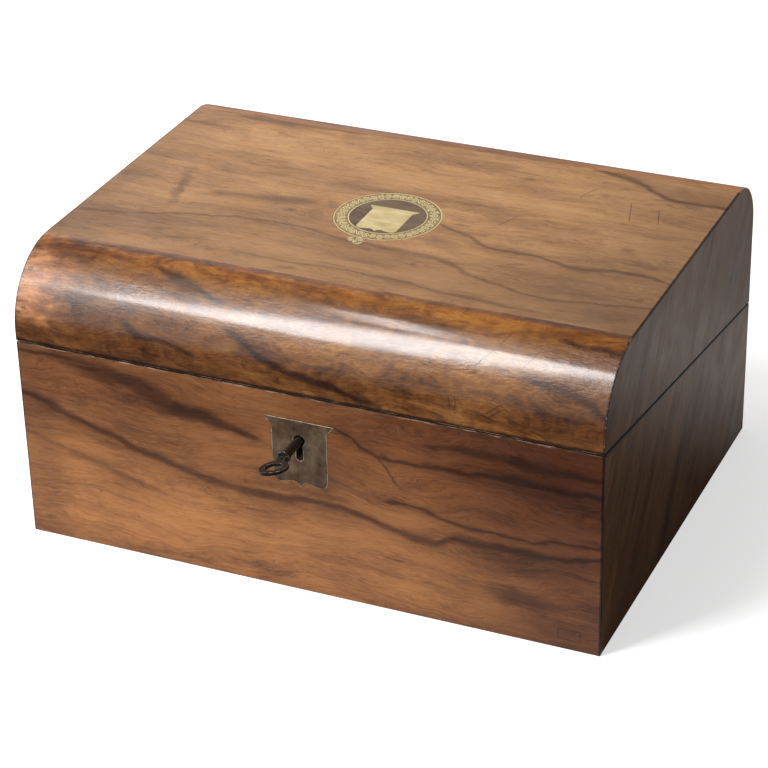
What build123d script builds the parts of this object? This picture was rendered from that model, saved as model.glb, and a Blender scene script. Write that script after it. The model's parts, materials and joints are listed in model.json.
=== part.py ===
from build123d import *
import os
from math import atan2, cos, degrees, pi, radians, sin, sqrt, tan

# A walnut writing slope, closed. Origin in the middle of the underside, +X to the right,
# the lock side faces -Y, the hinges are at +Y, +Z is up. Sizes are in millimetres.

os.makedirs("parts", exist_ok=True)

# Box
width = 305.0
depth = 230.0
height = 152.0
lid_front_height = 43.0
lid_back_height = 76.0
front_round_radius = 37.4
back_round_radius = 28.0
rim_gap = 0.6

# Wood
veneer = 1.0
board = 10.0
bottom_thickness = 8.0
bottom_rebate = 5.0
finger_count = 9
front_rail_width = 20.0
back_rail_width = 15.0
corner_round = 0.7

# Hinges
hinge_offset = 1.0
hinge_inset = 57.5
hinge_length = 38.0
knuckle_count = 3
knuckle_radius = 2.45
knuckle_gap = 0.15
knuckle_end_gap = 0.2
hinge_pin_radius = 1.2
pin_fit = 0.02
hinge_running_fit = 0.06
leaf_thickness = 1.5
leaf_reach = 10.5
leaf_screw_spacing = 24.0
leaf_screw_reach = 7.0

# Screws, drawn with flat sides
screw_sides = 8
screw_fit = 0.02
leaf_screw = {"shank": 0.9, "head": 1.9, "head_height": 0.9, "length": 8.0}
plate_screw = {"shank": 0.9, "head": 1.7, "head_height": 0.8, "length": 6.0}

# Compartments of the base
pen_compartment_depth = 46.0
shelf_thickness = 4.0
partition_thickness = 4.0
divider_thickness = 3.0
inkwell_space = 42.0
divider_drop = 2.0
tray_height = 24.5
tray_drop = 2.4
tray_play = 0.3
trough_radius = 21.0
trough_half_width = 19.5
trough_end_wall = 8.0
bearer_width = 6.0
bearer_height = 6.0

# Inkwells
well_side = 38.0
well_corner = 4.0
well_body_height = 34.0
well_shoulder = 3.0
well_neck_radius = 11.0
well_neck_height = 5.0
well_drop = 6.1
ink_radius = 8.5
ink_floor = 5.0
cap_side = 29.0
cap_corner = 2.5
cap_skirt = 4.8
cap_top_thickness = 4.6
cap_bevel = 2.6
cap_fit = 0.15

# Writing flaps
flap_depth_below_rim = 1.1
flap_thickness = 5.8
flap_play = 0.3
leather_thickness = 0.8
leather_margin = 12.0
ledge_width = 6.0
ledge_height = 6.0
ledge_end_gap = 0.2
finger_notch_radius = 8.0

# Lock. What is said to lie under or over the key is counted from the key's axis.
key_drop = 24.2
keyhole_radius = 3.1
keyhole_slot_width = 3.8
keyhole_reach = 9.4
lock_plate_half_length = 31.0
lock_plate_thickness = 1.2
lock_plate_under_key = 11.3
lock_cap_inset = 6.2
lock_cap_wall = 0.8
lock_cap_under_key = 9.8
lock_skin = 1.0
selvedge_thickness = 1.6
lock_screw_inset = 3.0
lock_screw_under_key = 6.3
lock_screw_over_key = 12.7
drill_pin_radius = 1.0
drill_pin_length = 7.4
bolt_thickness = 1.6
bolt_back_space = 3.3
bolt_travel = 6.0
bolt_over_key = 5.4
bolt_bar_width = 6.3
bolt_past_staple = 3.0
talon_middle_x = -3.4
talon_half_width = 5.9
talon_over_key = 8.6
post_width = 3.0
tongue_height = 2.4
tongue_drop = 6.4
tongue_reach = 7.0
tongue_gap = 0.8
stud_past_staple = 2.2
stud_before_staple = 0.5
stud_over_key = 8.8
stud_radius = 1.0
stud_head_radius = 1.9
stud_head_height = 0.6
stud_slot_play = 0.15
bolt_side_play = 0.1

# Link plate
staple_inset = 19.0
staple_thickness = 2.2
staple_width = 4.4
staple_root_y = -108.3
staple_length = 8.2
staple_hole_play = 0.35
link_plate_past_staple = 12.0
link_plate_width = 9.0
link_plate_thickness = 1.5
link_screw_past_staple = 7.0
selvedge_slot_side_play = 0.4
selvedge_slot_front_play = 0.5
selvedge_slot_back_play = 1.0

# Key
shank_radius = 2.25
key_bore_radius = 1.07
key_tip_gap = 0.9
bit_radius = 8.0
bit_thickness = 1.8
bit_length = 4.8
ward_width = 1.2
ward_depth = 2.4
collar_radius = 3.1
collar_width = 1.6
collar_reach = 15.6
bow_reach = 27.6
bow_half_width = 7.4
bow_half_length = 5.9
bow_hole_half_width = 4.6
bow_hole_half_length = 3.4
bow_thickness = 1.8
key_tilt = 14.0

# Turn catches of the lid flap
catch_inset = 67.5
catch_pivot_depth = 15.5
catch_reach = 8.0
catch_tip_radius = 2.0
catch_eye_radius = 3.2
catch_thickness = 0.52
catch_pocket_play = 0.3
catch_pocket_depth = 1.0
catch_floor_gap = 0.05
catch_screw_fit = 0.05
catch_head_radius = 2.0
catch_head_height = 0.34
catch_screw_radius = 0.9
catch_screw_length = 6.0

# Escutcheon and inlay
escutcheon_width = 36.2
escutcheon_height = 36.8
escutcheon_over_key = 10.6
escutcheon_proud = 0.2
shield_width = 27.2
shield_height = 27.6
shield_rise = -4.4
inlay_x = -1.5
inlay_y = -2.3
ring_outer_radius = 27.1
ring_inner_radius = 19.4
tail_root = (2.6, -20.2)
tail_angle = -123.0
tail_width = 6.8
tail_length = 15.6
tail_flare_width = 8.8
tail_flare_length = 3.0
tail_tip_width = 6.6
tail_notch = 1.4

# What follows from the sizes above
half_width = width / 2
front_y = -depth / 2
back_y = depth / 2
core_x = half_width - veneer
core_front = front_y + veneer
core_back = back_y - veneer
core_top = height - veneer
inner_x = core_x - board
inner_front = core_front + board
inner_back = core_back - board
lid_ceiling = core_top - board
front_joint_height = height - lid_front_height
hinge_x = half_width - hinge_inset
hinge_y = back_y + hinge_offset
hinge_z = height - lid_back_height
tilt = atan2(front_joint_height - hinge_z, hinge_y - front_y)
front_arc_y = front_y + front_round_radius
front_arc_z = height - front_round_radius
back_arc_y = back_y - back_round_radius
back_arc_z = height - back_round_radius
lid_inner_front = front_y + front_rail_width
lid_inner_back = back_y - back_rail_width
base_rim = -rim_gap / 2
lid_rim = rim_gap / 2
partition_front = inner_front + pen_compartment_depth
partition_back = partition_front + partition_thickness
divider_outer = inner_x - inkwell_space
divider_inner = divider_outer - divider_thickness
pen_middle_y = (inner_front + partition_front) / 2
plate_front = inner_front - lock_plate_thickness
cap_front = core_front + lock_skin
bolt_back = plate_front - bolt_back_space
bolt_front = bolt_back - bolt_thickness
joint_normal = (0, sin(tilt), cos(tilt))
key_axis_height = front_joint_height - key_drop
bolt_bar_low = key_axis_height + bolt_over_key
bolt_bar_high = bolt_bar_low + bolt_bar_width
stud_height = key_axis_height + stud_over_key
lock_screw_x = lock_plate_half_length - lock_screw_inset
lock_cap_half_length = lock_plate_half_length - lock_cap_inset
staple_x = lock_plate_half_length - staple_inset
link_plate_half_length = staple_x + link_plate_past_staple
link_screw_x = staple_x + link_screw_past_staple
bolt_end_x = staple_x + bolt_past_staple
stud_x = (-staple_x - stud_past_staple, staple_x - stud_before_staple)
catch_x = half_width - catch_inset
catch_pivot_y = front_y + catch_pivot_depth
high_enough = height * 2


def joint_z(y):
    """Height of the joint plane at a depth."""
    return hinge_z + (hinge_y - y) * tan(tilt)


def level_z(y, level):
    """Height at a depth of the plane that lies level above the joint plane, square to it."""
    return joint_z(y) + level / cos(tilt)


def level_plane(level):
    """The plane that lies level above the joint plane."""
    return Plane(origin=(0, hinge_y, hinge_z), x_dir=(1, 0, 0), z_dir=joint_normal).offset(level)


def plane_on_joint(x, y, level):
    """A plane level above the joint, square over the point of the joint plane at x and y."""
    return Plane(origin=(x, y, joint_z(y)), x_dir=(1, 0, 0), z_dir=joint_normal).offset(level)


def plane_facing_front(y):
    """An upright plane that faces the front, with +X to the right and +Z up."""
    return Plane.XZ.offset(-y)


# Building blocks, each added to or taken from the part that is being built

def block(x_span, y_span, z_span, mode=Mode.ADD):
    """A rectangular block."""
    middle = ((x_span[0] + x_span[1]) / 2, (y_span[0] + y_span[1]) / 2)
    with BuildSketch(Plane.XY.offset(z_span[0])) as footprint:
        with Locations(middle):
            Rectangle(abs(x_span[1] - x_span[0]), abs(y_span[1] - y_span[0]))
    extrude(footprint.sketch, amount=z_span[1] - z_span[0], mode=mode)


def side_prism(points, x_span, mode=Mode.ADD):
    """A prism along X whose outline is given by y and z."""
    with BuildSketch(Plane.YZ.offset(x_span[0])) as section:
        with BuildLine():
            Polyline(*points, close=True)
        make_face()
    extrude(section.sketch, amount=x_span[1] - x_span[0], mode=mode)


def sloped_layer(x_span, y_span, level_span, mode=Mode.ADD):
    """A layer between two levels along the joint plane, with upright edges."""
    low, high = level_span
    points = [
        (y_span[0], level_z(y_span[0], low)),
        (y_span[1], level_z(y_span[1], low)),
        (y_span[1], level_z(y_span[1], high)),
        (y_span[0], level_z(y_span[0], high)),
    ]
    side_prism(points, x_span, mode)


def rod(plane, radius, length, mode=Mode.ADD):
    """A round bar that starts at the middle of a plane and runs along its normal."""
    with BuildSketch(plane) as section:
        Circle(radius)
    extrude(section.sketch, amount=length, mode=mode)


def many_sided(plane, radius, length, mode=Mode.ADD):
    """A bar with flat sides that starts at the middle of a plane and runs along its normal."""
    with BuildSketch(plane) as section:
        RegularPolygon(radius, screw_sides, major_radius=False)
    extrude(section.sketch, amount=length, mode=mode)


def hinge_line_rod(radius, x_span, mode=Mode.ADD):
    """A round bar on the hinge line."""
    start = Plane(origin=(x_span[0], hinge_y, hinge_z), x_dir=(0, 1, 0), z_dir=(1, 0, 0))
    rod(start, radius, x_span[1] - x_span[0], mode)


def upright_screw(screw, fit=0.0):
    """A countersunk screw with its head's face at the origin, or with a fit the hole for it."""
    narrowing = degrees(atan2(screw["head"] - screw["shank"], screw["head_height"]))
    with BuildPart() as piece:
        with BuildSketch() as head:
            RegularPolygon(screw["head"] + fit, screw_sides, major_radius=False)
        extrude(head.sketch, amount=screw["head_height"], taper=narrowing)
        many_sided(Plane.XY, screw["shank"] + fit, screw["length"] + fit)
    return piece.part


screws = {"leaf": upright_screw(leaf_screw), "plate": upright_screw(plate_screw)}
screw_holes = {"leaf": upright_screw(leaf_screw, screw_fit),
               "plate": upright_screw(plate_screw, screw_fit)}


def put_screw(plane, kind):
    """A screw whose head lies flush in the plane."""
    inward = Plane(origin=plane.origin, x_dir=plane.x_dir, z_dir=-plane.z_dir)
    add(inward.location * screws[kind])


def take_screw_hole(plane, kind):
    """Takes out the hole of a screw whose head lies flush in the plane."""
    inward = Plane(origin=plane.origin, x_dir=plane.x_dir, z_dir=-plane.z_dir)
    add(inward.location * screw_holes[kind], mode=Mode.SUBTRACT)


def both_sides(low, high):
    """The x spans of a pair of mirrored pieces."""
    return ((-high, -low), (low, high))


def save(piece, name):
    piece.part.label = name
    export_step(piece.part, f"parts/{name}.step")


# Shield outline of the escutcheon and of the inlay: flared top corners, a bracket foot with a point
shield_neck_share = 0.795
shield_neck_drop_share = 0.133
shield_corner_share = 0.105
shield_foot_share = 0.052
shield_wave_rise_share = 0.026
shield_wave_share = 0.30


def shield(plane, shield_w, shield_h, top):
    """The face of a shield on a plane, whose top edge lies at a height on it."""
    tip = shield_w / 2
    neck = tip * shield_neck_share
    corner = shield_h * shield_corner_share
    foot = top - shield_h * (1 - shield_foot_share)
    wave_x = tip * shield_wave_share
    wave_y = foot + shield_h * shield_wave_rise_share
    with BuildSketch(plane) as face:
        with BuildLine() as outline:
            Polyline((0, top), (tip, top), (neck, top - shield_h * shield_neck_drop_share),
                     (neck, foot + corner))
            round_corner = TangentArc((neck, foot + corner), (neck - corner, foot), tangent=(0, -1))
            swell = TangentArc(round_corner @ 1, (wave_x, wave_y), tangent=round_corner % 1)
            TangentArc(swell @ 1, (0, top - shield_h), tangent=swell % 1)
            mirror(about=Plane.YZ)
        make_face()
    return face.sketch


def keyhole(plane):
    """The face of the keyhole, a round hole with a slot under it."""
    with BuildSketch(plane) as face:
        with Locations((0, key_axis_height)):
            Circle(keyhole_radius)
        with Locations((0, key_axis_height - keyhole_reach / 2)):
            Rectangle(keyhole_slot_width, keyhole_reach)
    return face.sketch


lock_plate_bottom = key_axis_height - lock_plate_under_key
lock_cap_bottom = key_axis_height - lock_cap_under_key

# Carcass boards of the base, finger jointed at the corners: the front and back boards own the
# even fingers, the end boards the odd ones
finger_height = front_joint_height / finger_count
bottom_x = inner_x + bottom_rebate
bottom_y = (inner_front - bottom_rebate, inner_back + bottom_rebate)


def bottom_space(mode=Mode.SUBTRACT):
    """The bottom board, or the rebate that it lies in."""
    block((-bottom_x, bottom_x), bottom_y, (0, bottom_thickness), mode)


def take_fingers(first_layer, y_span):
    """Takes every second finger off both ends of the boards that meet at a y span."""
    for layer in range(first_layer, finger_count, 2):
        for x_span in both_sides(inner_x, core_x):
            block(x_span, y_span, (layer * finger_height, (layer + 1) * finger_height), Mode.SUBTRACT)


def trim_to_base(level=base_rim):
    """Cuts the part off under the rim of the base."""
    split(bisect_by=level_plane(level), keep=Keep.BOTTOM)


def trim_to_lid(level=lid_rim):
    """Cuts the part off over the rim of the lid."""
    split(bisect_by=level_plane(level), keep=Keep.TOP)


hinge_spans = [(side * hinge_x - hinge_length / 2, side * hinge_x + hinge_length / 2) for side in (-1, 1)]
base_leaf_levels = (base_rim - leaf_thickness, base_rim)
lid_leaf_levels = (lid_rim, lid_rim + leaf_thickness)


def leaf_screw_planes(x_span, level, facing):
    """The planes of the screw heads of a hinge leaf, facing up on the base and down on the lid."""
    middle = (x_span[0] + x_span[1]) / 2
    planes = []
    for side in (-1, 1):
        seat = plane_on_joint(middle + side * leaf_screw_spacing / 2, hinge_y - leaf_screw_reach, level)
        planes.append(seat if facing > 0 else Plane(seat.origin, x_dir=(1, 0, 0), z_dir=-seat.z_dir))
    return planes


def hinge_room(levels, rim, facing):
    """Takes the seats of the leaves, the room for the knuckles and the screw holes off a rim."""
    for x_span in hinge_spans:
        sloped_layer(x_span, (hinge_y - leaf_reach, hinge_y), levels, Mode.SUBTRACT)
        room = (x_span[0] - knuckle_end_gap, x_span[1] + knuckle_end_gap)
        hinge_line_rod(knuckle_radius + knuckle_gap, room, Mode.SUBTRACT)
        for seat in leaf_screw_planes(x_span, rim, facing):
            take_screw_hole(seat, "leaf")


def lock_screw_planes():
    """The planes of the heads of the lock's screws, which face into the box."""
    planes = []
    for x in (-lock_screw_x, lock_screw_x):
        for z in (key_axis_height - lock_screw_under_key, key_axis_height + lock_screw_over_key):
            planes.append(Plane(origin=(x, inner_front, z), x_dir=(1, 0, 0), z_dir=(0, 1, 0)))
    return planes


with BuildPart() as base_front_board:
    block((-core_x, core_x), (core_front, inner_front), (0, high_enough))
    take_fingers(1, (core_front, inner_front))
    bottom_space()
    block((-lock_cap_half_length, lock_cap_half_length), (cap_front, inner_front),
          (lock_cap_bottom, high_enough), Mode.SUBTRACT)
    block((-lock_plate_half_length, lock_plate_half_length), (plate_front, inner_front),
          (lock_plate_bottom, high_enough), Mode.SUBTRACT)
    sloped_layer((-lock_plate_half_length, lock_plate_half_length), (cap_front, inner_front),
                 (base_rim - selvedge_thickness, height), Mode.SUBTRACT)
    extrude(keyhole(plane_facing_front(inner_front)), amount=board, mode=Mode.SUBTRACT)
    for seat in lock_screw_planes():
        take_screw_hole(seat, "plate")
    trim_to_base()

with BuildPart() as base_back_board:
    block((-core_x, core_x), (inner_back, core_back), (0, high_enough))
    take_fingers(1, (inner_back, core_back))
    bottom_space()
    hinge_room((base_leaf_levels[0], height), base_rim, 1)
    trim_to_base()

base_end_boards = []
for x_span in both_sides(inner_x, core_x):
    with BuildPart() as base_end_board:
        block(x_span, (core_front, core_back), (0, high_enough))
        take_fingers(0, (core_front, inner_front))
        take_fingers(0, (inner_back, core_back))
        bottom_space()
        trim_to_base()
    base_end_boards.append(base_end_board)

with BuildPart() as base_bottom_board:
    bottom_space(Mode.ADD)

save(base_front_board, "base_front_board")
save(base_back_board, "base_back_board")
save(base_end_boards[0], "base_left_board")
save(base_end_boards[1], "base_right_board")
save(base_bottom_board, "base_bottom_board")

# Veneers of the base
with BuildPart() as base_front_veneer:
    block((-half_width, half_width), (front_y, core_front), (0, high_enough))
    escutcheon_seat = shield(plane_facing_front(core_front), escutcheon_width, escutcheon_height,
                             key_axis_height + escutcheon_over_key)
    extrude(escutcheon_seat, amount=veneer, mode=Mode.SUBTRACT)
    trim_to_base()
    upright = base_front_veneer.edges().filter_by(Axis.Z).group_by(Axis.Y)[0].sort_by(Axis.X)
    fillet((upright[0], upright[-1]), corner_round)

with BuildPart() as base_back_veneer:
    block((-half_width, half_width), (core_back, back_y), (0, high_enough))
    hinge_room((base_leaf_levels[0], height), base_rim, 1)
    trim_to_base()

base_end_veneers = []
for x_span in both_sides(core_x, half_width):
    with BuildPart() as base_end_veneer:
        block(x_span, (core_front, core_back), (0, high_enough))
        trim_to_base()
    base_end_veneers.append(base_end_veneer)

save(base_front_veneer, "base_front_veneer")
save(base_back_veneer, "base_back_veneer")
save(base_end_veneers[0], "base_left_veneer")
save(base_end_veneers[1], "base_right_veneer")

# Pen compartment. The rim over its back edge sets the heights: the caps of the inkwells and the
# tray lie a little under it.
compartment_rim = joint_z(partition_front)
shelf_top = (compartment_rim - well_drop - cap_top_thickness - cap_fit - well_neck_height
             - well_body_height)
shelf_height = shelf_top - shelf_thickness
tray_top = compartment_rim - tray_drop
tray_bottom = tray_top - tray_height
with BuildPart() as tray_shelf:
    block((-inner_x, inner_x), (inner_front, partition_back), (shelf_height, shelf_top))

with BuildPart() as tray_partition:
    block((-inner_x, inner_x), (partition_front, partition_back), (shelf_top, high_enough))
    trim_to_base()

with BuildPart() as inkwell_dividers:
    for x_span in both_sides(divider_inner, divider_outer):
        block(x_span, (inner_front, partition_front), (shelf_top, high_enough))
    trim_to_base(base_rim - divider_drop)

with BuildPart() as tray_bearers:
    for x_span in both_sides(divider_inner - bearer_width, divider_inner):
        block(x_span, (inner_front, partition_front), (tray_bottom - bearer_height, tray_bottom))

tray_half_length = divider_inner - tray_play
trough_axis_z = tray_top + sqrt(trough_radius ** 2 - trough_half_width ** 2)
with BuildPart() as pen_tray:
    block((-tray_half_length, tray_half_length),
          (inner_front + tray_play, partition_front - tray_play), (tray_bottom, tray_top))
    trough_length = 2 * (tray_half_length - trough_end_wall)
    trough_start = Plane(origin=(-trough_length / 2, pen_middle_y, trough_axis_z), x_dir=(0, 1, 0),
                         z_dir=(1, 0, 0))
    rod(trough_start, trough_radius, trough_length, Mode.SUBTRACT)

save(tray_shelf, "tray_shelf")
save(tray_partition, "tray_partition")
save(inkwell_dividers, "inkwell_dividers")
save(tray_bearers, "tray_bearers")
save(pen_tray, "pen_tray")

# Inkwells, each a square glass bottle with a square brass cap
well_x = inner_x - inkwell_space / 2
well_top = shelf_top + well_body_height
neck_top = well_top + well_neck_height


def square_with_cut_corners(plane, side, corner):
    """The face of a square whose corners are cut off."""
    with BuildSketch(plane) as face:
        Rectangle(side, side)
        chamfer(face.vertices(), corner)
    return face.sketch


def inkwell(x):
    """A thick glass bottle that stands on the shelf."""
    middle = Plane(origin=(x, pen_middle_y, 0))
    with BuildPart() as bottle:
        body = square_with_cut_corners(middle.offset(shelf_top), well_side, well_corner)
        extrude(body, amount=well_body_height)
        chamfer(bottle.faces().sort_by(Axis.Z)[-1].edges(), well_shoulder)
        rod(middle.offset(well_top), well_neck_radius, well_neck_height)
        rod(middle.offset(shelf_top + ink_floor), ink_radius, neck_top - shelf_top, Mode.SUBTRACT)
    return bottle


def inkwell_cap(x):
    """A bevelled brass cap, open below, that goes over the neck of a bottle."""
    middle = Plane(origin=(x, pen_middle_y, 0))
    under = neck_top + cap_fit
    with BuildPart() as cap:
        block_face = square_with_cut_corners(middle.offset(under - cap_skirt), cap_side, cap_corner)
        extrude(block_face, amount=cap_skirt + cap_top_thickness)
        chamfer(cap.faces().sort_by(Axis.Z)[-1].edges(), cap_bevel)
        with BuildSketch(middle.offset(under - cap_skirt)) as hollow:
            Rectangle(2 * (well_neck_radius + cap_fit), 2 * (well_neck_radius + cap_fit))
        extrude(hollow.sketch, amount=cap_skirt, mode=Mode.SUBTRACT)
    return cap


for side, name in ((-1, "left"), (1, "right")):
    save(inkwell(side * well_x), f"inkwell_{name}")
    save(inkwell_cap(side * well_x), f"inkwell_cap_{name}")


# Writing flaps: a board with a leather panel let into its face, lying on or under four ledges
def flap_pieces(y_span, rim, inward, notch_y):
    """The board and the leather of a flap; inward is -1 in the base and 1 in the lid."""
    face = rim + inward * flap_depth_below_rim
    back = face + inward * flap_thickness
    pocket = face + inward * leather_thickness
    x_edge = inner_x - flap_play
    leather_x = (-x_edge + leather_margin, x_edge - leather_margin)
    leather_y = (y_span[0] + leather_margin, y_span[1] - leather_margin)
    with BuildPart() as flap_board:
        sloped_layer((-x_edge, x_edge), y_span, sorted((face, back)))
        sloped_layer(leather_x, leather_y, sorted((face, pocket)), Mode.SUBTRACT)
        notch_start = plane_on_joint(0, notch_y, min(face, back) - flap_thickness)
        rod(notch_start, finger_notch_radius, 3 * flap_thickness, Mode.SUBTRACT)
    with BuildPart() as leather:
        sloped_layer(leather_x, leather_y, sorted((face, pocket)))
    return flap_board, leather, back


def flap_ledges(y_span, back, inward):
    """Four strips round an opening, with their face at the back of a flap."""
    levels = sorted((back, back + inward * ledge_height))
    with BuildPart() as ledges:
        for x_span in both_sides(inner_x - ledge_width, inner_x):
            sloped_layer(x_span, y_span, levels)
        cross_x = inner_x - ledge_width - ledge_end_gap
        sloped_layer((-cross_x, cross_x), (y_span[0], y_span[0] + ledge_width), levels)
        sloped_layer((-cross_x, cross_x), (y_span[1] - ledge_width, y_span[1]), levels)
    return ledges


base_flap_y = (partition_back + flap_play, inner_back - flap_play)
base_flap_board, base_flap_leather, base_flap_back = flap_pieces(base_flap_y, base_rim, -1,
                                                                 base_flap_y[0])
base_flap_ledges = flap_ledges((partition_back, inner_back), base_flap_back, -1)
save(base_flap_board, "base_flap_board")
save(base_flap_leather, "base_flap_leather")
save(base_flap_ledges, "base_flap_ledges")

lid_flap_y = (lid_inner_front + flap_play, lid_inner_back - flap_play)
lid_flap_board, lid_flap_leather, lid_flap_back = flap_pieces(lid_flap_y, lid_rim, 1, lid_flap_y[0])
lid_flap_ledges = flap_ledges((lid_inner_front, lid_inner_back), lid_flap_back, 1)
save(lid_flap_board, "lid_flap_board")
save(lid_flap_leather, "lid_flap_leather")
save(lid_flap_ledges, "lid_flap_ledges")

# Lid. The rails carry the rounds and run the full length, the end boards stand between them and
# the top board lies over them.
front_core_radius = front_round_radius - veneer
back_core_radius = back_round_radius - veneer


eighth_turn = radians(45)


def quarter_point(y, z, radius, towards):
    """The middle of a quarter round; towards is -1 at the front and 1 at the back."""
    return (y + towards * radius * cos(eighth_turn), z + radius * sin(eighth_turn))


def lid_profile(radius_front, radius_back, top_z, front_edge, back_edge):
    """The face of the lid seen from the end, down to well under the rim."""
    with BuildSketch(Plane.YZ) as face:
        with BuildLine():
            ThreePointArc((front_edge, front_arc_z),
                          quarter_point(front_arc_y, front_arc_z, radius_front, -1),
                          (front_arc_y, top_z))
            Line((front_arc_y, top_z), (back_arc_y, top_z))
            ThreePointArc((back_arc_y, top_z),
                          quarter_point(back_arc_y, back_arc_z, radius_back, 1),
                          (back_edge, back_arc_z))
            Polyline((back_edge, back_arc_z), (back_edge, 0), (front_edge, 0),
                     (front_edge, front_arc_z))
        make_face()
    return face.sketch


core_face = lid_profile(front_core_radius, back_core_radius, core_top, core_front, core_back)
outer_face = lid_profile(front_round_radius, back_round_radius, height, front_y, back_y)


def take_lid_inside(y_span):
    """Takes away what lies between two depths under the lid's ceiling."""
    block((-half_width, half_width), y_span, (0, lid_ceiling), Mode.SUBTRACT)


def catch_pocket(x):
    """Takes the square pocket in which a turn catch swings off the rail."""
    reach = catch_reach + catch_pocket_play
    sloped_layer((x - reach, x + reach), (catch_pivot_y - reach, catch_pivot_y + reach),
                 (lid_rim - rim_gap, lid_rim + catch_pocket_depth), Mode.SUBTRACT)


link_plate_y = (staple_root_y - link_plate_width / 2, staple_root_y + link_plate_width / 2)


def link_screw_planes():
    """The planes of the heads of the link plate's screws, which face down."""
    planes = []
    for x in (-link_screw_x, link_screw_x):
        seat = plane_on_joint(x, staple_root_y, lid_rim)
        planes.append(Plane(seat.origin, x_dir=(1, 0, 0), z_dir=-seat.z_dir))
    return planes


catch_top_level = lid_rim + catch_pocket_depth - catch_floor_gap
catch_low_level = catch_top_level - catch_thickness
catch_head_level = catch_low_level - catch_floor_gap

with BuildPart() as lid_front_rail:
    extrude(core_face, amount=core_x, both=True)
    block((-half_width, half_width), (front_arc_y, back_y), (0, height), Mode.SUBTRACT)
    take_lid_inside((lid_inner_front, back_y))
    sloped_layer((-link_plate_half_length, link_plate_half_length), link_plate_y,
                 (lid_rim - rim_gap, lid_rim + link_plate_thickness), Mode.SUBTRACT)
    for seat in link_screw_planes():
        take_screw_hole(seat, "plate")
    for x in (-catch_x, catch_x):
        catch_pocket(x)
        many_sided(plane_on_joint(x, catch_pivot_y, catch_head_level),
                   catch_screw_radius + screw_fit, catch_screw_length + screw_fit, Mode.SUBTRACT)
    trim_to_lid()

with BuildPart() as lid_back_rail:
    extrude(core_face, amount=core_x, both=True)
    block((-half_width, half_width), (front_y, back_arc_y), (0, height), Mode.SUBTRACT)
    take_lid_inside((front_y, lid_inner_back))
    hinge_room((-height, lid_leaf_levels[1]), lid_rim, -1)
    trim_to_lid()

lid_end_boards = []
for x_span in both_sides(inner_x, core_x):
    with BuildPart() as lid_end_board:
        block(x_span, (lid_inner_front, lid_inner_back), (0, lid_ceiling))
        trim_to_lid()
    lid_end_boards.append(lid_end_board)

with BuildPart() as lid_top_board:
    block((-core_x, core_x), (front_arc_y, back_arc_y), (lid_ceiling, core_top))

save(lid_front_rail, "lid_front_rail")
save(lid_back_rail, "lid_back_rail")
save(lid_end_boards[0], "lid_left_board")
save(lid_end_boards[1], "lid_right_board")
save(lid_top_board, "lid_top_board")

# Inlay: a brass belt ring with its hanging tail, a roundel in it and a shield in that
inlay_plane = Plane(origin=(inlay_x, inlay_y, core_top))
tail_origin = (inlay_x + tail_root[0], inlay_y + tail_root[1], core_top)
tail_plane = Plane(origin=tail_origin, z_dir=(0, 0, 1),
                   x_dir=(cos(radians(tail_angle)), sin(radians(tail_angle)), 0))


def belt_outline():
    """The outside of the belt: its ring, and the tail with its flared, notched end."""
    flare_start = tail_length - 2 * tail_flare_length
    with BuildSketch(inlay_plane) as ring:
        Circle(ring_outer_radius)
    with BuildSketch(tail_plane) as tail:
        with BuildLine():
            Polyline((tail_length - tail_notch, 0), (tail_length, tail_tip_width / 2),
                     (tail_length - tail_flare_length, tail_flare_width / 2),
                     (flare_start, tail_width / 2), (0, tail_width / 2), (0, 0))
            mirror(about=Plane.XZ)
        make_face()
    return ring.sketch, tail.sketch


ring_face, tail_face = belt_outline()
shield_face = shield(inlay_plane, shield_width, shield_height, shield_rise + shield_height / 2)

with BuildPart() as inlay_ring:
    extrude(ring_face, amount=veneer)
    extrude(tail_face, amount=veneer)
    rod(inlay_plane, ring_inner_radius, veneer, Mode.SUBTRACT)

with BuildPart() as inlay_roundel:
    rod(inlay_plane, ring_inner_radius, veneer)
    extrude(shield_face, amount=veneer, mode=Mode.SUBTRACT)

with BuildPart() as inlay_shield:
    extrude(shield_face, amount=veneer)

save(inlay_ring, "inlay_ring")
save(inlay_roundel, "inlay_roundel")
save(inlay_shield, "inlay_shield")

# Veneers of the lid
with BuildPart() as lid_top_veneer:
    block((-half_width, half_width), (front_arc_y, back_arc_y), (core_top, height))
    extrude(ring_face, amount=veneer, mode=Mode.SUBTRACT)
    extrude(tail_face, amount=veneer, mode=Mode.SUBTRACT)

with BuildPart() as lid_front_veneer:
    extrude(outer_face, amount=half_width, both=True)
    extrude(core_face, amount=half_width, both=True, mode=Mode.SUBTRACT)
    block((-half_width, half_width), (front_arc_y, back_y), (0, height), Mode.SUBTRACT)
    trim_to_lid()

with BuildPart() as lid_back_veneer:
    extrude(outer_face, amount=half_width, both=True)
    extrude(core_face, amount=half_width, both=True, mode=Mode.SUBTRACT)
    block((-half_width, half_width), (front_y, back_arc_y), (0, height), Mode.SUBTRACT)
    hinge_room((-height, lid_leaf_levels[1]), lid_rim, -1)
    trim_to_lid()

lid_end_veneers = []
for rest_of_lid in ((-core_x, half_width), (-half_width, core_x)):
    with BuildPart() as lid_end_veneer:
        extrude(core_face, amount=half_width, both=True)
        block(rest_of_lid, (front_y, back_y), (0, height), Mode.SUBTRACT)
        trim_to_lid()
    lid_end_veneers.append(lid_end_veneer)

save(lid_top_veneer, "lid_top_veneer")
save(lid_front_veneer, "lid_front_veneer")
save(lid_back_veneer, "lid_back_veneer")
save(lid_end_veneers[0], "lid_left_veneer")
save(lid_end_veneers[1], "lid_right_veneer")


# Butt hinges. The base owns the even knuckles, the lid the odd ones.
knuckle_pitch = hinge_length / knuckle_count


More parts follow.
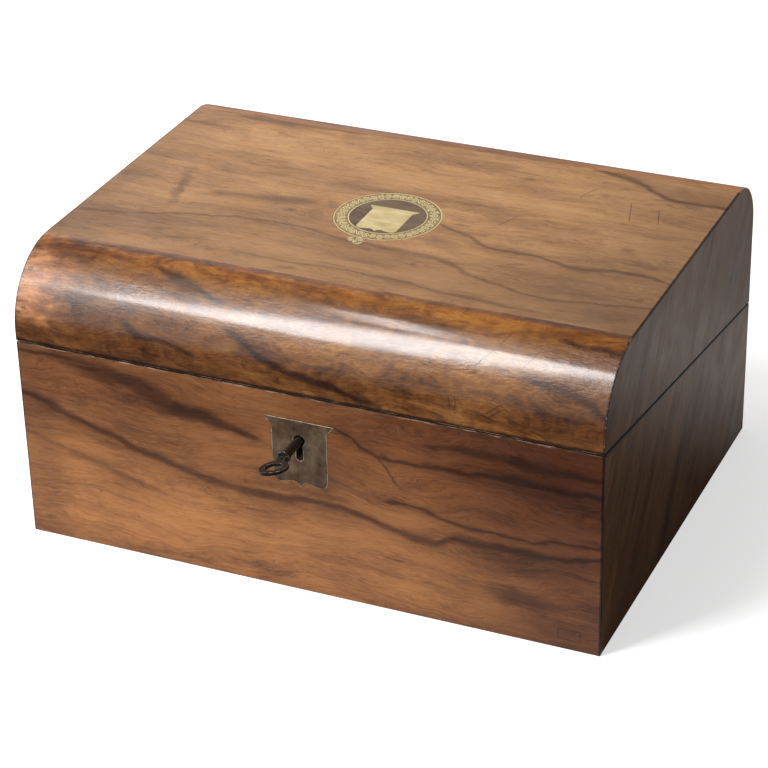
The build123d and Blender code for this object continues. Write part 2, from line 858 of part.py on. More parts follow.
def hinge_leaf(x_span, levels, rim, facing, first_knuckle, bore_fit):
    """A leaf let into a rim, with its knuckles on the hinge line."""
    with BuildPart() as leaf:
        sloped_layer(x_span, (hinge_y - leaf_reach, hinge_y), levels)
        hinge_line_rod(knuckle_radius + knuckle_gap, x_span, Mode.SUBTRACT)
        for index in range(first_knuckle, knuckle_count, 2):
            start = x_span[0] + index * knuckle_pitch + knuckle_end_gap / 2
            knuckle_span = (start, start + knuckle_pitch - knuckle_end_gap)
            web_y = (hinge_y - knuckle_radius - 2 * knuckle_gap, hinge_y)
            sloped_layer(knuckle_span, web_y, levels)
            hinge_line_rod(knuckle_radius, knuckle_span)
        hinge_line_rod(hinge_pin_radius + bore_fit, x_span, Mode.SUBTRACT)
        for seat in leaf_screw_planes(x_span, rim, facing):
            take_screw_hole(seat, "leaf")
    return leaf


for x_span, name in zip(hinge_spans, ("left", "right")):
    base_leaf = hinge_leaf(x_span, base_leaf_levels, base_rim, 1, 0, pin_fit)
    lid_leaf = hinge_leaf(x_span, lid_leaf_levels, lid_rim, -1, 1, hinge_running_fit)
    with BuildPart() as hinge_pin:
        hinge_line_rod(hinge_pin_radius, x_span)
    save(base_leaf, f"hinge_base_leaf_{name}")
    save(lid_leaf, f"hinge_lid_leaf_{name}")
    save(hinge_pin, f"hinge_pin_{name}")

with BuildPart() as hinge_base_screws:
    for x_span in hinge_spans:
        for seat in leaf_screw_planes(x_span, base_rim, 1):
            put_screw(seat, "leaf")

with BuildPart() as hinge_lid_screws:
    for x_span in hinge_spans:
        for seat in leaf_screw_planes(x_span, lid_rim, -1):
            put_screw(seat, "leaf")

save(hinge_base_screws, "hinge_base_screws")
save(hinge_lid_screws, "hinge_lid_screws")

# Box lock
staple_spans = [(side * staple_x - staple_thickness / 2, side * staple_x + staple_thickness / 2)
                for side in (-1, 1)]

with BuildPart() as lock_plate:
    block((-lock_plate_half_length, lock_plate_half_length), (plate_front, inner_front),
          (lock_plate_bottom, high_enough))
    trim_to_base()
    sloped_layer((-lock_plate_half_length, lock_plate_half_length), (cap_front, inner_front),
                 (base_rim - selvedge_thickness, base_rim))
    for x_span in staple_spans:
        slot_x = (x_span[0] - selvedge_slot_side_play, x_span[1] + selvedge_slot_side_play)
        slot_y = (staple_root_y - staple_width / 2 - selvedge_slot_front_play,
                  staple_root_y + staple_width / 2 + selvedge_slot_back_play)
        sloped_layer(slot_x, slot_y, (base_rim - 2 * selvedge_thickness, lid_rim), Mode.SUBTRACT)
    for seat in lock_screw_planes():
        take_screw_hole(seat, "plate")

with BuildPart() as lock_cap:
    block((-lock_cap_half_length, lock_cap_half_length), (cap_front, plate_front),
          (lock_cap_bottom, high_enough))
    block((-lock_cap_half_length + lock_cap_wall, lock_cap_half_length - lock_cap_wall),
          (cap_front + lock_cap_wall, plate_front),
          (lock_cap_bottom + lock_cap_wall, high_enough), Mode.SUBTRACT)
    extrude(keyhole(plane_facing_front(plate_front)), amount=board, mode=Mode.SUBTRACT)
    trim_to_base(base_rim - selvedge_thickness)

with BuildPart() as drill_pin:
    pin_start = Plane(origin=(0, plate_front, key_axis_height), x_dir=(1, 0, 0), z_dir=(0, -1, 0))
    rod(pin_start, drill_pin_radius, drill_pin_length)

with BuildPart() as bolt_studs:
    for x in stud_x:
        foot = Plane(origin=(x, plate_front, stud_height), x_dir=(1, 0, 0), z_dir=(0, -1, 0))
        shoulder = bolt_back_space - bolt_side_play
        neck = bolt_thickness + 2 * bolt_side_play
        many_sided(foot, stud_head_radius, shoulder)
        many_sided(foot.offset(shoulder), stud_radius, neck)
        many_sided(foot.offset(shoulder + neck), stud_head_radius, stud_head_height)

with BuildPart() as lock_screws:
    for seat in lock_screw_planes():
        put_screw(seat, "plate")

tongue_middle_height = front_joint_height - tongue_drop
tongue_low = tongue_middle_height - tongue_height / 2
tongue_high = tongue_middle_height + tongue_height / 2
bolt_start_x = -staple_x - staple_thickness / 2 - tongue_gap - tongue_reach - post_width
with BuildPart() as lock_bolt:
    with BuildSketch(plane_facing_front(bolt_back)) as bolt_face:
        with Locations(((bolt_start_x + bolt_end_x) / 2, (bolt_bar_low + bolt_bar_high) / 2)):
            Rectangle(bolt_end_x - bolt_start_x, bolt_bar_high - bolt_bar_low)
        for x_span in staple_spans:
            tip = x_span[0] - tongue_gap
            root = tip - tongue_reach
            with Locations((root - post_width / 2, (bolt_bar_low + tongue_high) / 2)):
                Rectangle(post_width, tongue_high - bolt_bar_low)
            with Locations(((root - post_width + tip) / 2, tongue_middle_height)):
                Rectangle(tip - root + post_width, tongue_height)
        talon_top = key_axis_height + talon_over_key
        with Locations((talon_middle_x, (bolt_bar_low + talon_top) / 2)):
            Rectangle(2 * talon_half_width, talon_top - bolt_bar_low, mode=Mode.SUBTRACT)
        for x in stud_x:
            with Locations((x - bolt_travel / 2, stud_height)):
                slot_half_width = stud_radius + stud_slot_play
                Rectangle(bolt_travel + 2 * slot_half_width, 2 * slot_half_width, mode=Mode.SUBTRACT)
    extrude(bolt_face.sketch, amount=bolt_thickness)

save(lock_plate, "lock_plate")
save(lock_cap, "lock_cap")
save(drill_pin, "drill_pin")
save(bolt_studs, "bolt_studs")
save(lock_screws, "lock_screws")
save(lock_bolt, "lock_bolt")

# Escutcheon, let through the veneer and a little proud of it
with BuildPart() as escutcheon:
    escutcheon_face = shield(plane_facing_front(core_front), escutcheon_width, escutcheon_height,
                             key_axis_height + escutcheon_over_key)
    extrude(escutcheon_face, amount=veneer + escutcheon_proud)
    extrude(keyhole(plane_facing_front(core_front)), amount=board, mode=Mode.SUBTRACT)
    foot = Plane(origin=(0, core_front, key_axis_height - keyhole_reach), x_dir=(1, 0, 0),
                 z_dir=(0, -1, 0))
    rod(foot, keyhole_slot_width / 2, board, Mode.SUBTRACT)

save(escutcheon, "escutcheon")

# Link plate, whose staples go down through the selvedge of the lock
with BuildPart() as link_plate:
    sloped_layer((-link_plate_half_length, link_plate_half_length), link_plate_y,
                 (lid_rim, lid_rim + link_plate_thickness))
    for x_span in staple_spans:
        root_z = level_z(staple_root_y, lid_rim)
        along = (cos(tilt), -sin(tilt))
        down = (-sin(tilt), -cos(tilt))
        corners = []
        for across, drop in ((-1, -link_plate_thickness / 2), (-1, staple_length),
                             (1, staple_length), (1, -link_plate_thickness / 2)):
            y = staple_root_y + across * along[0] * staple_width / 2 + down[0] * drop
            z = root_z + across * along[1] * staple_width / 2 + down[1] * drop
            corners.append((y, z))
        side_prism(corners, x_span)
        hole_y = (bolt_front - staple_hole_play, bolt_back + staple_hole_play)
        hole_z = (tongue_low - staple_hole_play, tongue_high + staple_hole_play)
        block(x_span, hole_y, hole_z, Mode.SUBTRACT)
    for seat in link_screw_planes():
        take_screw_hole(seat, "plate")

with BuildPart() as link_plate_screws:
    for seat in link_screw_planes():
        put_screw(seat, "plate")

save(link_plate, "link_plate")
save(link_plate_screws, "link_plate_screws")


# Turn catches
def flap_catch(x):
    """A small brass button that turns on its screw and holds the flap of the lid."""
    with BuildPart() as catch:
        with BuildSketch(plane_on_joint(x, catch_pivot_y, catch_low_level)) as face:
            Circle(catch_eye_radius)
            with Locations((0, catch_reach - catch_tip_radius)):
                Circle(catch_tip_radius)
            make_hull()
            Circle(catch_screw_radius / cos(pi / screw_sides) + catch_screw_fit, mode=Mode.SUBTRACT)
        extrude(face.sketch, amount=catch_thickness)
    return catch


for side, name in ((-1, "left"), (1, "right")):
    save(flap_catch(side * catch_x), f"flap_catch_{name}")

with BuildPart() as catch_screws:
    for x in (-catch_x, catch_x):
        under_head = plane_on_joint(x, catch_pivot_y, catch_head_level)
        many_sided(under_head, catch_screw_radius, catch_screw_length)
        many_sided(under_head.offset(-catch_head_height), catch_head_radius, catch_head_height)

save(catch_screws, "catch_screws")


# Pipe key, drawn turned by a little under a quarter turn from the way that it goes in
key_turn = radians(key_tilt)
key_side = (cos(key_turn), 0, sin(key_turn))
key_up = (-sin(key_turn), 0, cos(key_turn))
key_tip_y = plate_front - key_tip_gap


def key_plane(y):
    """A plane across the key, whose x runs along the bow."""
    return Plane(origin=(0, y, key_axis_height), x_dir=key_side, z_dir=(0, -1, 0))


def key_flat(level):
    """A plane along the key, in which the bow and the bit lie; its y runs into the box."""
    start = Plane(origin=(0, 0, key_axis_height), x_dir=key_side, z_dir=key_up)
    return start.offset(level)


bow_y = front_y - bow_reach
bit_y = key_tip_y - bit_length / 2 - ward_width / 2
with BuildPart() as key:
    collar_y = front_y - collar_reach
    rod(key_plane(key_tip_y), shank_radius, key_tip_y - collar_y)
    rod(key_plane(collar_y), collar_radius, collar_width)
    with BuildSketch(key_flat(-bow_thickness / 2)) as bow:
        with Locations((0, (collar_y - collar_width + bow_y) / 2)):
            Rectangle(2 * shank_radius, collar_y - collar_width - bow_y)
        with Locations((0, bow_y)):
            SlotOverall(2 * bow_half_width, 2 * bow_half_length)
            SlotOverall(2 * bow_hole_half_width, 2 * bow_hole_half_length, mode=Mode.SUBTRACT)
    extrude(bow.sketch, amount=bow_thickness)
    with BuildSketch(key_flat(-bit_thickness / 2)) as bit:
        with Locations(((-bit_radius - shank_radius) / 2 + ward_width / 2, bit_y)):
            Rectangle(bit_radius - shank_radius + ward_width, bit_length)
        with Locations((-bit_radius + ward_depth / 2, bit_y)):
            Rectangle(ward_depth, ward_width, mode=Mode.SUBTRACT)
    extrude(bit.sketch, amount=bit_thickness)
    rod(key_plane(key_tip_y), key_bore_radius, drill_pin_length, Mode.SUBTRACT)

save(key, "key")
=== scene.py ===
import json
import math

import bmesh
import bpy
from mathutils import Matrix, Vector

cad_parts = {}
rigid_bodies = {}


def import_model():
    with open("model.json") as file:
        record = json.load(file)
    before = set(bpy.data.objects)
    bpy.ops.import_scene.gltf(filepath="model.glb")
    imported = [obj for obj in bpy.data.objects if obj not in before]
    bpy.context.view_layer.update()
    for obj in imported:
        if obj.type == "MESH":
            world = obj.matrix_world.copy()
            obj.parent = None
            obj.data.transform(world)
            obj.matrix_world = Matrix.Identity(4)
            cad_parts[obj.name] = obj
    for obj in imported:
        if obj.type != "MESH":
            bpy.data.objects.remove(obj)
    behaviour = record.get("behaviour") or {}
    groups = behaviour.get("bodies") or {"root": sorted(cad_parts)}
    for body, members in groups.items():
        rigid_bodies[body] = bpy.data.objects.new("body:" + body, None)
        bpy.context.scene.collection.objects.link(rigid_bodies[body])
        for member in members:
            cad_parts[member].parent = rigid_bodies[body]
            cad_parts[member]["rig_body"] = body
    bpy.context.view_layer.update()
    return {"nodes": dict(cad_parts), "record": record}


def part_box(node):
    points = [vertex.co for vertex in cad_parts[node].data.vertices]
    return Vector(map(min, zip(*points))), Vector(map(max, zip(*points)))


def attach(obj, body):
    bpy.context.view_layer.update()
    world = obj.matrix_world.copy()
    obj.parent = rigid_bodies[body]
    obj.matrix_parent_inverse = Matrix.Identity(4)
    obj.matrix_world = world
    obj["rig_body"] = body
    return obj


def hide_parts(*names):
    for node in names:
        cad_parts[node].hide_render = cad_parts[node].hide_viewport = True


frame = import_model()
scene = bpy.context.scene

# Lengths in the paint are millimetres, and places in the scene are metres
MM = 0.001

# The box, read from the frame, and the few forms that its boxes don't tell
roundel_low, roundel_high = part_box("inlay_roundel")
box_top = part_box("lid_top_veneer")[1].z / MM
box_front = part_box("base_front_veneer")[0].y / MM
box_back = -box_front
box_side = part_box("base_right_veneer")[1].x / MM
ring_x = (roundel_low.x + roundel_high.x) / 2 / MM
ring_y = (roundel_low.y + roundel_high.y) / 2 / MM
ring_inner_radius = (roundel_high.x - roundel_low.x) / 2 / MM
belt_width = 7.7
ring_outer_radius = ring_inner_radius + belt_width
belt_tail_start = (2.6, -20.2)
belt_tail_turn = -123.0
front_round = 37.4
back_round = 28.0
joint_at_front = 109.0
keyhole_z = 82.0
joint_at_hinge = 76.0
hinge_line = 116.0
joint_slope = (joint_at_front - joint_at_hinge) / (hinge_line - box_front)
front_arc_y = box_front + front_round
front_arc_z = box_top - front_round
back_arc_y = box_back - back_round
back_arc_z = box_top - back_round
# Reach in millimetres of the painted shade round the keyhole
shaded_keyhole_reach = 15.0
finger_end_place = (137.0, 8.0)
finger_end_half = (5.5, 2.6)
leather_half = (136.0, 101.0)
gilt_line_insets = (9.0, 14.0)


class Paint:
    """A material's nodes, made by short calls that give back sockets."""

    def __init__(self, name):
        self.material = bpy.data.materials.new(name)
        self.material.use_nodes = True
        self.tree = self.material.node_tree
        self.tree.nodes.clear()
        self.seed = 0.0

    def node(self, kind, **settings):
        made = self.tree.nodes.new(kind)
        for key, value in settings.items():
            setattr(made, key, value)
        return made

    def feed(self, socket, value):
        if isinstance(value, bpy.types.NodeSocket):
            self.tree.links.new(value, socket)
        else:
            socket.default_value = value

    def math(self, operation, *values, clamp=False):
        made = self.node("ShaderNodeMath", operation=operation, use_clamp=clamp)
        for socket, value in zip(made.inputs, values):
            self.feed(socket, value)
        return made.outputs[0]

    def add(self, first, second):
        return self.math("ADD", first, second)

    def take(self, first, second):
        return self.math("SUBTRACT", first, second)

    def times(self, first, second):
        return self.math("MULTIPLY", first, second)

    def most(self, first, second):
        return self.math("MAXIMUM", first, second)

    def least(self, first, second):
        return self.math("MINIMUM", first, second)

    def size(self, value):
        return self.math("ABSOLUTE", value)

    def apart(self, first, second):
        return self.size(self.take(first, second))

    def length(self, first, second):
        return self.math("SQRT", self.add(self.times(first, first), self.times(second, second)))

    def around(self, value, swing):
        """Moves a noise of 0 to 1 to both sides of zero, times swing."""
        return self.times(self.take(value, 0.5), swing)

    def step(self, value, low, high, start=0.0, end=1.0):
        """Goes smoothly from start to end while value goes from low to high."""
        made = self.node("ShaderNodeMapRange", interpolation_type="SMOOTHSTEP")
        for socket, given in zip(made.inputs, (value, low, high, start, end)):
            self.feed(socket, given)
        return made.outputs[0]

    def within(self, value, reach, strength=1.0):
        """The given strength where value is near zero, and none from reach on."""
        return self.step(value, reach * 0.4, reach, strength, 0.0)

    def place(self):
        """The point's x, y and z in millimetres in the object's own frame."""
        coordinates = self.node("ShaderNodeTexCoord").outputs["Object"]
        split = self.node("ShaderNodeSeparateXYZ")
        self.feed(split.inputs[0], coordinates)
        return [self.times(axis, 1 / MM) for axis in split.outputs]

    def vector(self, *axes):
        made = self.node("ShaderNodeCombineXYZ")
        for socket, value in zip(made.inputs, axes):
            self.feed(socket, value)
        return made.outputs[0]

    def noise(self, grain, along, across, detail=3.0, rough=0.55, twist=0.0):
        """Noise from 0 to 1 whose marks are along millimetres long and across millimetres wide."""
        self.seed += 17.3
        moved = self.node("ShaderNodeVectorMath", operation="MULTIPLY_ADD")
        self.feed(moved.inputs[0], self.vector(*grain))
        moved.inputs[1].default_value = (1 / along, 1 / across, 1 / across)
        moved.inputs[2].default_value = (self.seed, self.seed * 0.7, self.seed * 0.3)
        made = self.node("ShaderNodeTexNoise")
        self.feed(made.inputs["Vector"], moved.outputs[0])
        made.inputs["Scale"].default_value = 1.0
        made.inputs["Detail"].default_value = detail
        made.inputs["Roughness"].default_value = rough
        made.inputs["Distortion"].default_value = twist
        return made.outputs["Fac"]

    def mix(self, share, first, second):
        made = self.node("ShaderNodeMix", data_type="RGBA")
        self.feed(made.inputs[0], share)
        self.feed(made.inputs[6], first)
        self.feed(made.inputs[7], second)
        return made.outputs[2]

    def tint(self, share, colour, shade):
        """Multiplies colour by shade to the given share."""
        made = self.node("ShaderNodeMix", data_type="RGBA", blend_type="MULTIPLY")
        self.feed(made.inputs[0], share)
        self.feed(made.inputs[6], colour)
        self.feed(made.inputs[7], shade)
        return made.outputs[2]

    def choose(self, share, first, second):
        """The first number where share is 0, and the second where it is 1."""
        made = self.node("ShaderNodeMix", data_type="FLOAT")
        self.feed(made.inputs[0], share)
        self.feed(made.inputs[2], first)
        self.feed(made.inputs[3], second)
        return made.outputs[0]

    def ramp(self, value, stops):
        """A colour that runs through the stops, each a place from 0 to 1 and a colour."""
        made = self.node("ShaderNodeValToRGB")
        self.feed(made.inputs[0], value)
        elements = made.color_ramp.elements
        elements[0].position, elements[0].color = stops[0]
        elements[1].position, elements[1].color = stops[-1]
        for where, colour in stops[1:-1]:
            elements.new(where).color = colour
        return made.outputs[0]

    def line(self, value, points):
        """A smooth line through points: its height where it is at value."""
        first, last = points[0][0], points[-1][0]
        heights = [height for _, height in points]
        low, high = min(heights), max(heights)
        spread = max(high - low, 0.001)
        at = self.node("ShaderNodeMapRange", clamp=True)
        for socket, given in zip(at.inputs, (value, first, last, 0.0, 1.0)):
            self.feed(socket, given)
        made = self.node("ShaderNodeFloatCurve")
        curve = made.mapping.curves[0]
        for index, (where, height) in enumerate(points):
            spot = ((where - first) / (last - first), (height - low) / spread)
            if index == 0:
                curve.points[0].location = spot
            elif index == len(points) - 1:
                curve.points[-1].location = spot
            else:
                curve.points.new(*spot)
        made.mapping.update()
        self.feed(made.inputs["Value"], at.outputs[0])
        return self.math("MULTIPLY_ADD", made.outputs[0], spread, low)

    def turned(self, x, y, centre, degrees):
        """Coordinates along and across a line through centre that is turned by degrees."""
        turn = math.radians(degrees)
        right = self.take(x, centre[0])
        up = self.take(y, centre[1])
        along = self.add(self.times(right, math.cos(turn)), self.times(up, math.sin(turn)))
        across = self.take(self.times(up, math.cos(turn)), self.times(right, math.sin(turn)))
        return along, across

    def bump(self, height, depth, before=None):
        """A normal pushed out by height, from 0 to 1, times depth in millimetres."""
        made = self.node("ShaderNodeBump")
        made.inputs["Distance"].default_value = depth * MM
        made.inputs["Strength"].default_value = 1.0
        self.feed(made.inputs["Height"], height)
        if before is not None:
            self.feed(made.inputs["Normal"], before)
        return made.outputs[0]

    def finish(self, colour, roughness, normal=None, **fixed):
        """The shader. Values in fixed are the same all over the surface."""
        shader = self.node("ShaderNodeBsdfPrincipled")
        self.feed(shader.inputs["Base Color"], colour)
        self.feed(shader.inputs["Roughness"], roughness)
        if normal is not None:
            self.feed(shader.inputs["Normal"], normal)
        for key, value in fixed.items():
            shader.inputs[key.replace("_", " ")].default_value = value
        output = self.node("ShaderNodeOutputMaterial")
        self.tree.links.new(shader.outputs[0], output.inputs["Surface"])
        return self.material


# Walnut, in millimetres and degrees on its own face
# A streak's line runs through points of x, y and half its width. Its stain reaches under and over it.
# A patch is x, y, half its length, half its width, its turn and its darkness.
# A scratch is x, y, half its length, its turn and its bend.

top_streaks = [
    dict(line=[(-153, -50, 1.2), (-130, -46, 1.0), (-114, -41, 1.2), (-86, -33, 1.0), (-62, -29, 0.9),
               (-39, -29, 0.9), (-10, -34, 1.6), (26, -36, 2.6), (43, -39, 2.2), (61, -48, 1.8),
               (80, -53, 1.4), (102, -58, 1.6), (117, -56, 1.2), (134, -53, 1.0), (153, -50, 1.2)],
         dark=0.5, under=26, over=5),
    dict(line=[(20, 2, 0.8), (31, -4, 1.2), (46, -10, 1.6), (56, -16, 1.6), (66, -18, 1.3),
               (82, -18, 1.1), (91, -20, 1.6), (108, -23, 2.4), (130, -19, 1.4), (153, -24, 1.2)],
         dark=0.6, under=14, over=4),
    dict(line=[(66, 91, 1.5), (85, 85, 2.6), (96, 82, 3.2), (104, 78, 3.0), (115, 70, 2.2),
               (122, 66, 2.2), (135, 65, 2.4), (153, 65, 1.6)], dark=0.75, under=4, over=18),
    dict(line=[(-100, -9, 3.0), (-86, -7, 4.5), (-68, -4, 5.0), (-52, -2, 4.0), (-38, 2, 2.0)],
         dark=0.5, under=7, over=7),
    dict(line=[(-131, 83, 0.8), (-118, 85, 1.6), (-93, 85, 2.2), (-67, 86, 1.6), (-50, 86, 0.8)],
         dark=0.55, under=4, over=4),
    dict(line=[(-60, -60, 0.8), (-30, -66, 1.2), (10, -64, 1.0), (60, -70, 1.4), (110, -72, 1.0)],
         dark=0.4, under=6, over=6),
]
top_patches = [
    (-113.5, -9, 24, 3.4, -80, 0.75),
    (-24, -72, 8, 3.5, 5, 0.6),
    (-4, 13, 6, 2.5, 10, 0.35),
    (36, -22, 16, 7, -30, 0.4),
    (63, -71, 9, 3, 5, 0.5),
    (123, 3, 4, 4.5, 60, 0.45),
    (92, 59, 3.5, 3, 0, 0.4),
    (100, -40, 44, 14, -4, 0.35),
    (-70, -20, 42, 9, 4, 0.3),
    (-146, -4, 8, 22, 0, 0.35),
    (128, 72, 18, 6, -20, 0.45),
    (134, -62, 22, 9, 0, 0.35),
]
top_scratches = [
    (56, 14, 8, 66, 0.004), (109, 45, 12, -75, 0.0),
    (124, 44, 9, -74, 0.0), (82, 59, 8, 70, 0.01),
    (-92, 31, 2, 30, 0.1), (-109, 15, 1.6, 60, 0.1),
    (-31, 55, 2.5, 8, 0.1), (-90, 42, 3, 20, 0.06),
]
front_streaks = [
    dict(line=[(-153, 104, 1.0), (-133, 105, 2.4), (-120, 103, 4.6), (-103, 101, 6.2), (-92, 99, 6.6),
               (-80, 95.5, 7.4), (-68, 90, 6.4), (-55, 87.5, 5.0), (-44, 85.5, 3.4), (-30, 82.5, 2.0),
               (-17, 80, 1.2)], dark=0.9, under=8, over=12),
    dict(line=[(-153, 81, 1.6), (-141, 78, 2.2), (-128, 73.5, 2.6), (-116, 69.5, 2.4),
               (-100, 65, 2.2), (-88, 61, 2.6), (-74, 58.5, 2.2), (-64, 55, 2.6), (-53, 53, 2.4),
               (-39, 51.5, 2.6), (-25, 50, 2.4), (-1, 52, 2.2), (18, 52, 1.8), (36, 49, 2.0),
               (54, 45, 2.4), (67, 43.5, 2.4), (79, 48, 2.6), (95, 48, 2.8), (117, 48.5, 2.4),
               (129, 48.5, 2.2), (142, 51, 1.8), (153, 53, 1.6)], dark=0.85, under=12, over=5),
    dict(line=[(40, 61, 0.8), (57, 61, 1.0), (67, 59.5, 1.2), (87, 56, 1.2), (99, 56, 1.0),
               (112, 55, 1.2), (129, 57, 1.0), (153, 60, 0.9)], dark=0.8, under=5, over=5),
    dict(line=[(14, 97, 0.7), (27, 92, 1.0), (37, 86, 1.2), (55, 84, 1.2), (69, 85.5, 1.4),
               (82, 85, 1.6), (96, 86, 1.6), (112, 87, 2.4), (128, 86, 1.8), (153, 86, 1.6)],
         dark=0.8, under=7, over=7),
    dict(line=[(34, 92, 0.6), (39, 86, 0.8), (45, 79, 0.8), (50, 72, 0.8), (57, 70, 0.6)],
         dark=0.65, under=3, over=3),
    dict(line=[(-70, 60, 1.6), (-40, 55.5, 3.0), (-5, 57, 2.0), (30, 55, 1.2)], dark=0.4, under=6, over=6),
    dict(line=[(60, 96, 1.0), (90, 97, 2.0), (112, 96, 2.6), (150, 95, 1.6)], dark=0.6, under=6, over=6),
    dict(line=[(-150, 58, 1.0), (-120, 50, 1.6), (-96, 44, 1.2), (-70, 38, 0.8)],
         dark=0.35, under=6, over=6),
]
front_patches = [
    (112, 22, 17, 6.5, -4, 0.9),
    (112, 97, 6, 3.6, 0, 0.8),
    (46, 23, 10, 5, -10, 0.25),
    (110, 40, 36, 6, -2, 0.5),
    (-140, 40, 12, 30, 10, 0.4),
    (125, 10, 26, 5, 0, 0.45),
    (-20, 66, 20, 7, -10, 0.3),
    (20, 70, 26, 8, -6, 0.35),
]
curve_streaks = [
    dict(line=[(-98, 18, 1.4), (-91, 13, 2.2), (-82, 9.5, 1.6), (-75, 9.5, 1.4), (-63, 7, 1.2),
               (-50, 3, 0.8)], dark=0.9, under=6, over=6),
    dict(line=[(-44, 21, 1.2), (-32, 18, 1.8), (-22, 12, 2.4), (-10, 7.2, 2.4), (2, 4.7, 2.2),
               (17, 2.7, 2.0), (30, -0.4, 1.8), (45, -3, 1.4)], dark=1.0, under=5, over=8),
    dict(line=[(-88, 50, 1.0), (-83, 46, 2.4), (-76, 43, 2.8), (-66, 40.5, 2.6), (-58, 38, 2.8),
               (-50, 34, 1.6), (-40, 33, 0.8)], dark=0.85, under=5, over=5),
    dict(line=[(-45, 57, 1.2), (-22, 57.5, 3.0), (0, 56, 1.6), (60, 56.5, 2.0), (153, 57, 2.6)],
         dark=0.6, under=4, over=4),
    dict(line=[(-140, 57, 1.2), (-110, 55, 2.0), (-60, 56, 1.6), (-45, 57, 1.0)], dark=0.7, under=4, over=4),
    dict(line=[(105, 24, 1.0), (128, 22, 2.4), (142, 18, 2.8), (153, 12, 2.0)], dark=0.8, under=6, over=6),
    dict(line=[(120, 46, 0.8), (138, 44.5, 1.6), (153, 44, 1.8)], dark=0.9, under=3, over=3),
]
curve_patches = [
    (-62, 33, 9, 6, -20, 0.6),
    (-80, 4, 3.5, 11, 0, 0.7),
    (-18, 12, 22, 7, -20, 0.7),
    (-118, 18, 20, 9, 0, 0.5),
    (60, 12, 30, 7, 0, 0.3),
    (122, 9, 24, 10, 0, 0.5),
    (-120, 46, 26, 7, 0, 0.35),
    (20, 52, 60, 5, 0, 0.3),
]
curve_scratches = [
    (77, 7, 3.2, -82, 0.06), (80, 7, 3.4, -86, 0.05),
    (99, 7.5, 6, 38, 0.01), (100, 5.5, 6, 36, 0.01),
    (121, -1, 6, -22, 0.03), (97, 41, 5, 68, 0.01),
    (90, 30, 7, 55, 0.005), (112, 33, 6, 60, 0.004),
]

top_tones = [(0.0, (0.150, 0.075, 0.036, 1)), (0.35, (0.350, 0.172, 0.068, 1)),
             (0.6, (0.520, 0.262, 0.102, 1)), (1.0, (0.670, 0.365, 0.150, 1))]
front_tones = [(0.0, (0.095, 0.034, 0.014, 1)), (0.35, (0.265, 0.100, 0.030, 1)),
               (0.6, (0.410, 0.163, 0.047, 1)), (1.0, (0.560, 0.240, 0.072, 1))]
curve_tones = [(0.0, (0.046, 0.013, 0.003, 1)), (0.35, (0.140, 0.044, 0.006, 1)),
               (0.6, (0.225, 0.080, 0.012, 1)), (1.0, (0.350, 0.152, 0.028, 1))]
# The ends' tones are darker than the other faces': partly the end veneers' own colour, partly painted shade
# for an end that stands in shade. Both ends share them.
end_tones = [(0.0, (0.046, 0.019, 0.007, 1)), (0.35, (0.102, 0.045, 0.016, 1)),
             (0.6, (0.152, 0.070, 0.026, 1)), (1.0, (0.225, 0.112, 0.044, 1))]
carcass_tones = [(0.0, (0.10, 0.040, 0.020, 1)), (0.35, (0.21, 0.090, 0.042, 1)),
                 (0.6, (0.29, 0.130, 0.060, 1)), (1.0, (0.38, 0.185, 0.085, 1))]
roundel_tones = [(0.0, (0.060, 0.035, 0.022, 1)), (0.4, (0.130, 0.080, 0.048, 1)),
                 (0.6, (0.175, 0.110, 0.066, 1)), (1.0, (0.250, 0.160, 0.100, 1))]
stain_shade = (0.46, 0.40, 0.42, 1)
streak_shade = (0.235, 0.185, 0.20, 1)


def grain_on_top(paint):
    return paint.place()


def grain_on_front(paint):
    x, y, z = paint.place()
    return x, z, y


def grain_round_front(paint):
    """Length along the box, way round the curve from its lower end, and depth."""
    x, y, z = paint.place()
    inward = paint.take(front_arc_y, y)
    upward = paint.take(z, front_arc_z)
    round_part = paint.times(paint.math("ARCTAN2", paint.most(upward, 0.0), inward), front_round)
    straight_part = paint.least(upward, 0.0)
    return x, paint.add(round_part, straight_part), paint.length(inward, upward)


def grain_on_end(paint):
    """Straight grain that leans back as it rises."""
    x, y, z = paint.place()
    lean = math.radians(58)
    along = paint.add(paint.times(y, math.cos(lean)), paint.times(z, math.sin(lean)))
    across = paint.take(paint.times(z, math.cos(lean)), paint.times(y, math.sin(lean)))
    return along, across, x


def end_edge_distance(paint):
    """How far a point of an end face lies from the box's outline."""
    x, y, z = paint.place()
    front = paint.length(paint.most(paint.take(front_arc_y, y), 0.0),
                         paint.most(paint.take(z, front_arc_z), 0.0))
    back = paint.length(paint.most(paint.take(y, back_arc_y), 0.0),
                        paint.most(paint.take(z, back_arc_z), 0.0))
    inside = paint.least(paint.take(front_round, front), paint.take(back_round, back))
    return paint.least(inside, z)


def joint_distance(paint):
    """How far a point lies from the line between lid and base."""
    x, y, z = paint.place()
    line = paint.add(joint_at_front, paint.times(paint.take(y, box_front), -joint_slope))
    return paint.apart(z, line)


